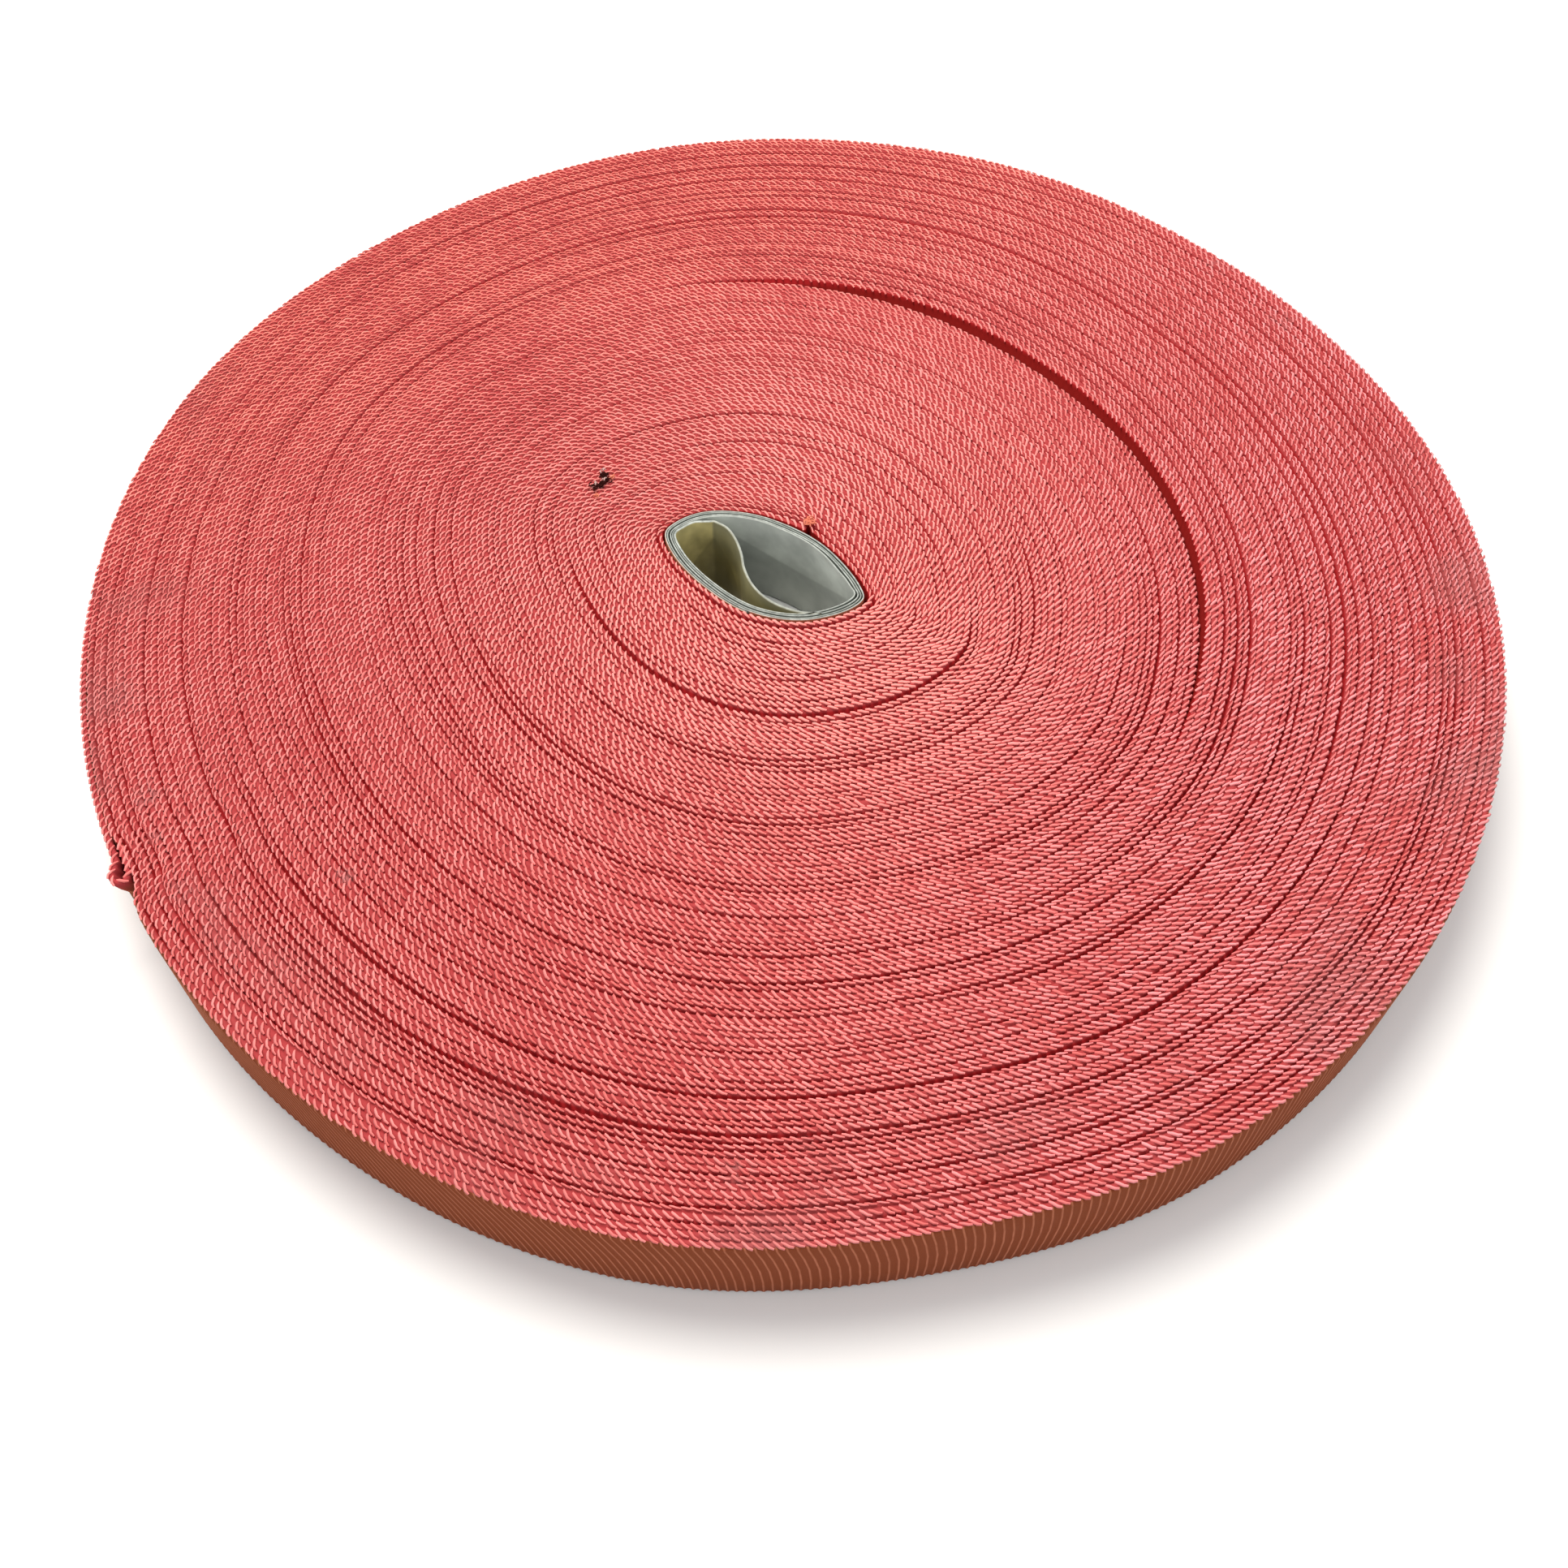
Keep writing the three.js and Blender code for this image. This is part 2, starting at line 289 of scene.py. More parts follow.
def by_direction(rows, name, degrees):
    """A table's value in each direction, smooth between its rows."""
    at = np.array([row["at"] for row in rows], float)
    value = np.array([row[name] for row in rows], float)
    low = np.clip(np.searchsorted(at, degrees % 360, side="right") - 1, 0, len(at) - 2)
    share = smooth(at[low], at[low + 1], degrees % 360)
    return value[low] + (value[low + 1] - value[low]) * share


def rim_radius(degrees):
    """Radius of the roll's rim in each direction."""
    return ROLL_RADIUS + by_direction(RIM_SWELL, "swell", degrees)


def joint_number(place, middle, degrees):
    """Number of the joint between turns that passes the place at the middle direction."""
    start = START + (middle - START) % 360
    lap = round(place * PLACES - (start - START) / 360)
    return lap + (near(degrees, start) - START) / 360


def small_partings():
    """Faint openings all over the roll, between turns that the table leaves out."""
    rng = np.random.default_rng(SEED)
    rows = []
    for lap in range(FAINT["from"], FAINT["to"]):
        place = (lap + 0.5) / PLACES
        for _ in range(FAINT["each"]):
            middle, span = rng.uniform(0, 360), rng.uniform(FAINT["short"], FAINT["long"])
            gap, drop = rng.uniform(FAINT["shut"], FAINT["wide"]), rng.normal(0, FAINT["stray"])
            drop = drop + SLACK["tilt"] * math.sin(math.radians(middle))
            rows.append({"place": place, "middle": middle, "span": span, "gap": max(gap, 0.0), "drop": drop})
        if lap % 2 and place > SLACK["place"]:
            middle = rng.normal(SLACK["middle"], SLACK["stray"])
            gap = rng.uniform(SLACK["low"], SLACK["high"])
            row = {"place": place, "middle": middle, "span": SLACK["span"], "gap": gap}
            rows.append({**row, "drop": SLACK["tilt"]})
    return rows


ALL_PARTINGS = [*PARTINGS, *small_partings()]


def parting_share(row, degrees):
    """How far a parting is open in each direction, from 0 to 1."""
    away = np.abs(near(degrees, row["middle"]) - row["middle"]) / (row["span"] / 2)
    return smooth(0, 0.5, 1 - away)


def opening_at(joint):
    """Width of the gap at the joint with this number; the first turn is parted all round."""
    degrees = START + 360 * joint
    width = GROOVE * (1 + window_at(degrees, BACK_WINDOW))
    width = width * smooth(FIRST_PARTING["from"], FIRST_PARTING["full"], joint)
    width = width * (1 - smooth(FIRST_PARTING["fade"], FIRST_PARTING["to"], joint))
    for row in ALL_PARTINGS:
        number = joint_number(row["place"], row["middle"], degrees)
        same = np.abs(joint - number) < 0.25
        width = width + np.where(same, row["gap"] * parting_share(row, degrees), 0)
    return width


def wander(winding, row):
    """A slow random change along the ribbon."""
    count = int((TURNS + 3) * row["knots"]) + 2
    knots = np.random.default_rng(SEED + row["seed"]).normal(0, row["size"], count)
    at = np.clip(winding * row["knots"], 0, count - 2)
    low = at.astype(int)
    return knots[low] + (knots[low + 1] - knots[low]) * smooth(0, 1, at - low)


def spread(away, pitch, gap, reach):
    """Sideways push of turns that lie away from an opened joint, in turns, to both sides."""
    return np.clip(2 * away, -1, 1) * gap / 2 * np.exp(-np.abs(away) * pitch / reach)


def joint_radius(joint, degrees):
    """Radius of the joint with this number in each direction, before any opening."""
    slack = BACK_SLACK * window_at(degrees, BACK_WINDOW) * (0.4 + 0.6 * smooth(0.3, 1, joint))
    hole = core_radius(degrees) + CLEARANCE + slack
    rim = rim_radius(degrees)
    place = joint / PLACES
    shift = DRIFT * window_at(degrees, DRIFT_WINDOW) * np.interp(place, [0, STEP["place"], 1], [0, 1, 0])
    inside = smooth(1, 4, joint) * (1 - smooth(TURNS - 3, TURNS - 1, joint))
    return hole + (rim - hole) * (place + shift) + inside * wander(joint, UNEVEN)


def disc_joint(degrees):
    """Number of the joint round the raised disc in each direction."""
    return joint_number(DISC["place"], DISC["middle"], degrees)


def step_joint(degrees):
    """Number of the joint at the open step in each direction."""
    return joint_number(STEP["place"], STEP["middle"], near(degrees, STEP_MIDDLE))


def turns_at(winding):
    """Radius, half thickness and lift of the turn at each winding number."""
    degrees = START + 360 * winding
    middle = winding + 0.5
    inner, outer = joint_radius(winding, degrees), joint_radius(winding + 1, degrees)
    pitch, radius = outer - inner, (inner + outer) / 2
    inner_gap, outer_gap = opening_at(winding), opening_at(winding + 1)
    half = (pitch - (inner_gap + outer_gap) / 2) / 2
    radius = radius + (inner_gap - outer_gap) / 4

    disc = middle - disc_joint(degrees)
    disc_window = window_at(degrees, DISC_WINDOW)
    radius = radius + spread(disc, pitch, DISC["gap"] * disc_window, DISC["reach"])
    lift = DISC["rise"] * disc_window * smooth(-0.5, 0.5, -disc)

    step = middle - step_joint(degrees)
    step_window = window_at(degrees, STEP_WINDOW)
    radius = radius + spread(step, pitch, STEP["gap"] * step_window, STEP["reach"])
    to_rim = np.clip((middle / PLACES - STEP["place"]) / (1 - STEP["place"]), 0, 1)
    rise = STEP["rise"] * (1 + (STEP["rim_share"] - 1) * to_rim)
    lift = lift + rise * step_window * smooth(-0.5, 0.5, step)

    for row in ALL_PARTINGS:
        away = middle - joint_number(row["place"], row["middle"], degrees)
        side = np.clip(2 * away, -1, 1) * np.exp(-np.abs(away) / 3)
        lift = lift + row["drop"] / 2 * side * parting_share(row, degrees)
    lift = lift + wander(winding, RIPPLE) + wander(winding, HEAVE)

    lap_share = winding % 1
    tight = lap_share * (1 - smooth(1 - TAKE_IN["climb"], 1, lap_share)) * pitch
    radius = radius - tight * np.exp(-(middle - 0.5) * pitch / TAKE_IN["reach"])

    from_rim = (PLACES - middle) * pitch
    past = (degrees - (START + 360 * TURNS)) % 360
    missing = (1 - past / 360) * pitch
    swelling = missing * smooth(TAKE_UP["from"], TAKE_UP["to"], START + 360 * (TURNS % 1) + past)
    radius = radius + swelling * np.exp(-from_rim / TAKE_UP["reach"])
    under = np.where(winding < TURNS - 0.5, 1.0, 0.0)
    radius = radius - SEAT["depth"] * window_at(degrees, SEAT) * np.exp(-from_rim / SEAT["reach"]) * under
    return radius, half, lift


def joint_depth(joint):
    """How deep the joint between two turns goes down, below the turns' tops."""
    degrees = START + 360 * joint
    depth = JOINT_DEPTH + np.minimum(PARTING_STEEPNESS * opening_at(joint), PARTING_DEPTH)
    disc = np.abs(joint - disc_joint(degrees))
    depth = depth + DISC["depth"] * window_at(degrees, DISC_WINDOW) * (1 - smooth(0, 0.6, disc))
    step = np.abs(joint - step_joint(degrees))
    return depth + STEP["depth"] * window_at(degrees, STEP_WINDOW) * (1 - smooth(0, 0.9, step))


STEPS_PER_TURN = 720


def ribbon_lengths():
    """Winding numbers along the ribbon and the ribbon's length up to each, in millimetres."""
    winding = np.linspace(0, TURNS, int(TURNS * STEPS_PER_TURN))
    radius, _, _ = turns_at(winding)
    x, y = polar(START + 360 * winding, radius)
    steps = np.hypot(np.diff(x), np.diff(y))
    return winding, np.concatenate([[0], np.cumsum(steps)])


WINDINGS, LENGTHS = ribbon_lengths()


def length_setting(name, description, millimetres):
    """A length that a user may change."""
    return bpy.props.FloatProperty(
        name=name, description=description, default=millimetres * MM, unit="LENGTH", precision=5
    )


def colour_setting(name, description, value):
    """A linear colour that a user may change."""
    return bpy.props.FloatVectorProperty(
        name=name, description=description, default=value, size=3, subtype="COLOR"
    )


class RibbonSizes(bpy.types.PropertyGroup):
    """Sizes of the ribbon's weave."""

    rib_pitch: length_setting("Rib pitch", "Distance between ribs", 0.87)
    thread: length_setting("Loop thread", "Radius of a selvedge loop", 0.16)
    crown: length_setting("Loop crown", "Rise of a loop's middle", 0.10)
    pile_depth: length_setting("Loop depth", "How far the cloth lies below the loops", 0.2)
    rib_height: length_setting("Rib height", "Height of the ribs on the face", 0.1)
    columns: bpy.props.IntProperty(
        name="Columns", description="Columns of the turns' mesh for each turn", default=150, min=90, max=170
    )


class RibbonColours(bpy.types.PropertyGroup):
    """Colours of the ribbon, linear; several of them are painted light or shade."""

    loop: colour_setting("Loops", "Selvedge loops", (0.88, 0.248, 0.230))
    loop_dark: colour_setting("Loops, dark", "The darkest loops", (0.64, 0.115, 0.105))
    # Painted light: the lighter colour of the loops near the core, as if lit more there
    core_lit: colour_setting("Loops, faded", "Loops near the core", (0.95, 0.345, 0.30))
    # Painted light: rosy loops on the right side and warm loops at the back left
    rosy_light: colour_setting("Loops, rosy", "Loops on the right side", (0.88, 0.295, 0.305))
    warm_light: colour_setting("Loops, warm", "Loops at the back left", (0.95, 0.285, 0.23))
    # Painted shade: these three are the loops' own coral cloth, painted darker as if in shade in the pits,
    # the joints and on the step walls
    pit_shade: colour_setting("Pits", "Cloth between the loops", (0.36, 0.048, 0.050))
    deep: colour_setting("Joints", "Cloth deep between turns", (0.28, 0.011, 0.013))
    wall: colour_setting("Walls", "Cloth on the open steps", (0.155, 0.006, 0.005))
    # Painted shade: the ribbed face is the loops' coral cloth, painted brown as if in shade
    face: colour_setting("Face", "The ribbon's ribbed face", (0.225, 0.055, 0.022))
    # Painted highlight: the light on the ribs' crests
    rib: colour_setting("Ribs", "The crests of the ribs", (0.44, 0.155, 0.088))
    blush: colour_setting("Face in the fold", "The face where coral light fills it", (0.34, 0.04, 0.045))
    dirt: colour_setting("Dirt", "Greyed patches near the rim", (0.34, 0.13, 0.125))


class CardLook(bpy.types.PropertyGroup):
    """Sizes and colours of the card core, linear."""

    laps: bpy.props.FloatProperty(
        name="Laps", description="Turns of card in the wall", default=4.25, min=2, max=6
    )
    thickness: length_setting("Card", "Thickness of the card", 0.17)
    edge: colour_setting("Edge", "Cut edge of the card", (0.43, 0.465, 0.43))
    grey: colour_setting("Grey side", "Face in the right chamber", (0.52, 0.55, 0.50))
    olive: colour_setting("Olive side", "Face in the left chamber", (0.47, 0.41, 0.18))
    # Painted shade: the card's sides between the laps, darkened as if in shade
    between: colour_setting("Between laps", "Sides of the card between laps", (0.15, 0.17, 0.145))
    tan: colour_setting("Outside", "Face against the ribbon", (0.55, 0.25, 0.13))


class StageLook(bpy.types.PropertyGroup):
    """The floor and its light."""

    floor: colour_setting("Floor", "Colour of the floor", (0.86, 0.86, 0.85))
    sky: bpy.props.FloatProperty(
        name="Sky", description="Strength of the light all round", default=0.93, min=0
    )
    key: bpy.props.FloatProperty(
        name="Key light", description="Power of the lamp", default=2.35, unit="POWER"
    )


def link_in(tree, socket, value):
    """Sets a socket to a value, or links it where the value is another socket."""
    if isinstance(value, bpy.types.NodeSocket):
        tree.links.new(value, socket)
    elif value is not None:
        socket.default_value = value


def add_node(tree, kind, inputs=None, **settings):
    """A new node with its settings and inputs."""
    node = tree.nodes.new(kind)
    for name, value in settings.items():
        setattr(node, name, value)
    for key, value in (inputs or {}).items():
        link_in(tree, node.inputs[key], value)
    return node


def math_node(tree, operation, a, b=None, clamp=False):
    return add_node(tree, "ShaderNodeMath", {0: a, 1: b}, operation=operation, use_clamp=clamp).outputs[0]


def plus(tree, a, b):
    return math_node(tree, "ADD", a, b)


def minus(tree, a, b):
    return math_node(tree, "SUBTRACT", a, b)


def times(tree, a, b):
    return math_node(tree, "MULTIPLY", a, b)


def vector_node(tree, operation, output, a, b=None):
    return add_node(tree, "ShaderNodeVectorMath", {0: a, 1: b}, operation=operation).outputs[output]


def object_place(tree):
    """Where a point lies on the piece, in metres."""
    return add_node(tree, "ShaderNodeTexCoord").outputs["Object"]


def mix_colour(tree, factor, a, b):
    node = add_node(tree, "ShaderNodeMix", data_type="RGBA")
    for socket, value in zip((node.inputs[0], node.inputs[6], node.inputs[7]), (factor, a, b)):
        link_in(tree, socket, value)
    return node.outputs[2]


def ramp(tree, value, low, high):
    """0 at low and 1 at high, smooth and clamped."""
    inputs = {"Value": value, "From Min": low, "From Max": high}
    return add_node(tree, "ShaderNodeMapRange", inputs, interpolation_type="SMOOTHSTEP").outputs[0]


def attribute(tree, name):
    return add_node(tree, "ShaderNodeAttribute", attribute_name=name).outputs["Fac"]


def noise(tree, scale, detail=2.0, coordinates=None):
    """Noise over the piece, or over the coordinates where they are given."""
    if coordinates is None:
        coordinates = object_place(tree)
    inputs = {"Scale": scale, "Detail": detail, "Vector": coordinates}
    return add_node(tree, "ShaderNodeTexNoise", inputs).outputs["Fac"]


def roughen(tree, shader, strength, distance, height):
    """Bump of this height in millimetres on the shader."""
    inputs = {"Strength": strength, "Distance": distance * MM, "Height": height}
    link_in(tree, shader.inputs["Normal"], add_node(tree, "ShaderNodeBump", inputs).outputs[0])


def rgb(colour, share=1.0):
    """A colour, or a share of it, as a socket takes it."""
    return (*[share * c for c in colour], 1.0)


def new_material(name, roughness, sheen=0.0, gloss=0.25):
    """An empty material with its shader, and the shader's tree."""
    material = bpy.data.materials.new(name)
    material.use_nodes = True
    shader = material.node_tree.nodes["Principled BSDF"]
    shader.inputs["Roughness"].default_value = roughness
    shader.inputs["Specular IOR Level"].default_value = gloss
    shader.inputs["Sheen Weight"].default_value = sheen
    return material, material.node_tree, shader


# Stains on the top: place, radius and strength
STAINS = [
    {"x": -42.1, "y": -40.0, "radius": 1.3, "strength": 0.9},
    {"x": -50.6, "y": -49.6, "radius": 1.6, "strength": 0.5},
    {"x": -3.9, "y": -68.4, "radius": 2.2, "strength": 0.55},
    {"x": 1.9, "y": -65.7, "radius": 1.4, "strength": 0.4},
    {"x": -62.7, "y": -31.4, "radius": 2.6, "strength": 0.55},
    {"x": -60.9, "y": -36.1, "radius": 1.6, "strength": 0.4},
    {"x": -56.9, "y": -42.0, "radius": 2.6, "strength": 0.45},
    {"x": -53.6, "y": -46.2, "radius": 1.8, "strength": 0.4},
    {"x": 59.0, "y": 40.0, "radius": 3.0, "strength": 0.4},
    {"x": 52.5, "y": 50.5, "radius": 3.0, "strength": 0.3},
]


# Dust near the rim: where it sets in and is full, how far back it reaches, and its strength
DUST = {"from": 60, "to": 76, "back": 40, "share": 0.5}


def dirtied(tree, colour, dirt):
    """The colour with dust near the rim and the stains on the top."""
    place = object_place(tree)
    flat = vector_node(tree, "MULTIPLY", 0, place, (1, 1, 0))
    edge = ramp(tree, vector_node(tree, "LENGTH", "Value", flat), DUST["from"] * MM, DUST["to"] * MM)
    patches = ramp(tree, noise(tree, 90, 3.0), 0.45, 0.72)
    y = add_node(tree, "ShaderNodeSeparateXYZ", {0: place}).outputs["Y"]
    front = times(tree, ramp(tree, y, DUST["back"] * MM, 0.0), DUST["share"])
    share = times(tree, times(tree, edge, patches), front)
    speckle = ramp(tree, noise(tree, 1100, 2.0), 0.38, 0.62)
    for stain in STAINS:
        centre = (stain["x"] * MM, stain["y"] * MM, 0)
        away = vector_node(tree, "DISTANCE", "Value", flat, centre)
        spot = ramp(tree, away, stain["radius"] * MM, 0.1 * stain["radius"] * MM)
        spot = times(tree, times(tree, spot, stain["strength"]), speckle)
        share = math_node(tree, "MAXIMUM", share, spot)
    return mix_colour(tree, share, colour, rgb(dirt))


# Painted light: the loops are painted rosier to the right, as in cool light, and warmer at the back left, as
# in the warm lamp light; the direction, and how far out it sets in
ROSY_LIGHT = {"x": 0.95, "y": -0.3, "low": 12, "high": 62}
WARM_LIGHT = {"x": -0.5, "y": 0.87, "low": 12, "high": 60}

# Painted light: nearer the core than this the loops are painted lighter, as if lit more there
CORE_LIGHT = {"from": 48, "full": 16, "share": 0.6}


def loop_material(colours):
    """Coral thread, each loop a little lighter or darker, dusty near the rim; painted light makes the loops
    lighter near the core, rosier to the right and warmer at the back left.
    """
    material, tree, shader = new_material("ribbon_loops", 0.8, sheen=0.15)
    tone = plus(tree, attribute(tree, "tone"), minus(tree, noise(tree, 60, 2.0), 0.5))
    tone = math_node(tree, "MULTIPLY", tone, 1.0, clamp=True)
    place = object_place(tree)
    from_middle = vector_node(tree, "LENGTH", "Value", place)
    # Painted light: share of the lighter loop colour near the core
    core_lit = times(tree, ramp(tree, from_middle, CORE_LIGHT["from"] * MM, CORE_LIGHT["full"] * MM), CORE_LIGHT["share"])
    colour = mix_colour(tree, tone, rgb(colours.loop_dark), rgb(colours.loop))
    colour = mix_colour(tree, core_lit, colour, rgb(colours.core_lit))
    # Painted light: rosier loops to the right and warmer loops at the back left
    for tint, shade in ((ROSY_LIGHT, colours.rosy_light), (WARM_LIGHT, colours.warm_light)):
        away = vector_node(tree, "DOT_PRODUCT", "Value", place, (tint["x"], tint["y"], 0))
        side = ramp(tree, away, tint["low"] * MM, tint["high"] * MM)
        tinted = mix_colour(tree, tone, rgb(colours.loop_dark), rgb(shade))
        colour = mix_colour(tree, side, colour, tinted)
    link_in(tree, shader.inputs["Base Color"], dirtied(tree, colour, colours.dirt))
    roughen(tree, shader, 0.25, 0.05, noise(tree, 7000, 2.0))
    return material


def ribbon_map(tree):
    """The ribbon's own map: ribs along it, and its width across it."""
    return add_node(tree, "ShaderNodeUVMap", uv_map="Ribbon").outputs[0]


def rib_wave(tree):
    """Crests of the ribs along the ribbon, from 0 to 1."""
    along = add_node(tree, "ShaderNodeSeparateXYZ", {0: ribbon_map(tree)}).outputs["X"]
    wave = math_node(tree, "COSINE", times(tree, along, 2 * math.pi))
    return plus(tree, times(tree, wave, 0.5), 0.5)


# Painted shade: how far down the cloth is painted deep red and then dark, and to where it is mottled, in
# millimetres
JOINT_SHADE_AT = (0.10, 0.5)
WALL_SHADE_AT = (0.7, 1.1)
MOTTLED_TO = (0.05, 0.4)
MOTTLE = 0.4


def turns_material(colours):
    """The cloth below the loops, with painted shade: red pits, deep red joints, and dark walls at the open
    steps.
    """
    material, tree, shader = new_material("ribbon_turns", 0.9, gloss=0.05)
    drop = attribute(tree, "drop")
    # Painted shade, darker the further down the cloth lies
    shade = mix_colour(tree, ramp(tree, drop, *JOINT_SHADE_AT), rgb(colours.pit_shade), rgb(colours.deep))
    shade = mix_colour(tree, ramp(tree, drop, *WALL_SHADE_AT), shade, rgb(colours.wall))
    shallow = minus(tree, MOTTLE, ramp(tree, drop, *MOTTLED_TO))
    mottle = math_node(tree, "MAXIMUM", times(tree, noise(tree, 1500, 3.0), shallow), 0.0)
    shade = mix_colour(tree, mottle, shade, rgb(colours.pit_shade))
    link_in(tree, shader.inputs["Base Color"], dirtied(tree, shade, colours.dirt))
    roughen(tree, shader, 0.5, 0.1, rib_wave(tree))
    return material


def face_material(colours):
    """The ribbed face: painted shade makes the cloth brown, and painted highlights make its thin crests
    lighter.
    """
    material, tree, shader = new_material("ribbon_face", 0.85, gloss=0.05)
    weave = noise(tree, 12, 2.0, coordinates=ribbon_map(tree))
    # Painted shade: the face's brown colour
    base = mix_colour(tree, ramp(tree, weave, 0.3, 0.7), rgb(colours.face, 0.75), rgb(colours.face))
    # Painted highlight on the rib crests, in patches
    crest = ramp(tree, rib_wave(tree), 0.80, 1.0)
    patchy = plus(tree, times(tree, noise(tree, 700, 3.0), 0.9), 0.15)
    crest_highlight = math_node(tree, "MULTIPLY", crest, patchy, clamp=True)
    colour = mix_colour(tree, crest_highlight, base, rgb(colours.rib))
    colour = mix_colour(tree, attribute(tree, "blush"), colour, rgb(colours.blush))
    link_in(tree, shader.inputs["Base Color"], colour)
    roughen(tree, shader, 0.3, 0.05, noise(tree, 5000, 2.0))
    return material


# Painted shadows: the card is painted darker below a slanting line in the right chamber and under a gable in
# the left one
SHADOW_PLANE = {"x": 0.842, "y": 1.164, "height": 11.2, "share": 0.38}
GABLE_SHADOW = {"x": -9.0, "slope": 1.7, "height": 9.6, "share": 0.38}


def card_material(look):
    """Grey coated card: whitish cut edges, olive in the left chamber, tan against the ribbon; painted shadows
    in both chambers, painted shade on the S's left side and between the laps.
    """
    material, tree, shader = new_material("core_card", 0.45)
    zones = add_node(tree, "ShaderNodeAttribute", attribute_name="zone").outputs["Color"]
    olive_side, cut_edge, outside = add_node(tree, "ShaderNodeSeparateColor", {0: zones}).outputs
    x, y, z = add_node(tree, "ShaderNodeSeparateXYZ", {0: object_place(tree)}).outputs
    cloud = ramp(tree, noise(tree, 250, 3.0), 0.3, 0.75)

    # Painted shadow below a slanting line in the right chamber
    line = plus(tree, times(tree, x, SHADOW_PLANE["x"]), times(tree, y, SHADOW_PLANE["y"]))
    under = minus(tree, minus(tree, SHADOW_PLANE["height"] * MM, line), z)
    painted_shadow = times(tree, ramp(tree, under, -0.2 * MM, 0.3 * MM), SHADOW_PLANE["share"])
    grey = mix_colour(tree, cloud, rgb(look.grey, 0.75), rgb(look.grey, 1.15))
    grey = mix_colour(tree, painted_shadow, grey, rgb(look.grey, 0.25))

    # Painted shadow under a gable in the left chamber
    aside = math_node(tree, "ABSOLUTE", minus(tree, x, GABLE_SHADOW["x"] * MM))
    under = minus(tree, minus(tree, GABLE_SHADOW["height"] * MM, times(tree, aside, GABLE_SHADOW["slope"])), z)
    gable_shadow = times(tree, ramp(tree, under, -0.3 * MM, 0.4 * MM), GABLE_SHADOW["share"])
    olive = mix_colour(tree, cloud, rgb(look.olive, 0.6), rgb(look.olive, 1.3))
    olive = mix_colour(tree, gable_shadow, olive, rgb(look.olive, 0.25))
    # Painted shade on the S's left side
    olive = mix_colour(tree, attribute(tree, "dim"), olive, rgb(look.olive, 0.3))

    scuffs = ramp(tree, noise(tree, 1800, 2.0), 0.35, 0.7)
    scuffed = mix_colour(tree, scuffs, rgb(look.edge, 0.6), rgb(look.edge))
    colour = mix_colour(tree, olive_side, grey, olive)
    # Painted shade between the laps
    colour = mix_colour(tree, attribute(tree, "between"), colour, rgb(look.between))
    colour = mix_colour(tree, outside, colour, rgb(look.tan))
    colour = mix_colour(tree, cut_edge, colour, scuffed)
    link_in(tree, shader.inputs["Base Color"], colour)
    roughen(tree, shader, 0.15, 0.05, noise(tree, 900, 3.0))
    return material


def new_piece(name, points, quads, others, material, slot):
    """A smooth mesh object from points in millimetres, riding on the roll's body once it is finished."""
    mesh = bpy.data.meshes.new(name)
    mesh.from_pydata((np.asarray(points) * MM).tolist(), [], [*np.asarray(quads).tolist(), *others])
    mesh.materials.append(material)
    mesh.polygons.foreach_set("use_smooth", np.ones(len(mesh.polygons), bool))
    mesh.update()
    piece = bpy.data.objects.new(name, mesh)
    bpy.context.scene.collection.objects.link(piece)
    finish_piece(piece)
    return piece


def finish_piece(piece):
    """Joins the piece to the roll's body."""
    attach(piece, BODY)


def set_uv(piece, name, values):
    """A map with one place for each face corner."""
    layer = piece.data.uv_layers.new(name=name)
    layer.data.foreach_set("uv", np.asarray(values, np.float32).ravel())


def set_attribute(piece, name, values):
    """A value at each point of the piece."""
    layer = piece.data.attributes.new(name, "FLOAT", "POINT")
    layer.data.foreach_set("value", np.asarray(values, np.float32))


def corner_points(piece):
    """Vertex position of each face corner, in millimetres."""
    mesh = piece.data
    at = np.empty(len(mesh.vertices) * 3, np.float32)
    mesh.vertices.foreach_get("co", at)
    corner = np.empty(len(mesh.loops), np.int32)
    mesh.loops.foreach_get("vertex_index", corner)
    return at.reshape(-1, 3)[corner] / MM


# The width of the roll that a map from above takes in, and its share of the baking map
MAP_SPAN = 2 * ROLL_RADIUS + 4
MAP_SHARE = 0.98


def map_from_above(piece):
    """A map of the piece as seen from above, for baking."""
    at = corner_points(piece)
    set_uv(piece, "OFBake", 0.5 + at[:, :2] * MAP_SHARE / MAP_SPAN)


# Across the top of a turn: shares of its thickness, and how far it rounds down there
RIDGE = [
    {"across": 0.24, "down": 0.07},
    {"across": 0.5, "down": 0.0},
    {"across": 0.76, "down": 0.07},
]

# The edges at the hole and at the rim: how far in they lie, and how deep above and below
EDGE = {"inset": 0.12, "above": 0.15, "below": 0.1}

# The underside: how deep its joints go, and how far down its joints and ridges count for their shade
UNDERSIDE = {"depth": 0.25, "joint_drop": 0.3, "ridge_drop": 0.05}

# Painted shade: the ribbon's face in the hole is painted as dark as cloth this far below the loops
HOLE_SHADE_DROP = 1.5

# Painted shade: where one side of a joint stands this much higher, its wall is painted as dark as if it lay
# that far down
WALL_SHADE_FROM = (0.4, 0.9)
WALL_SHADE_DROP = 0.75


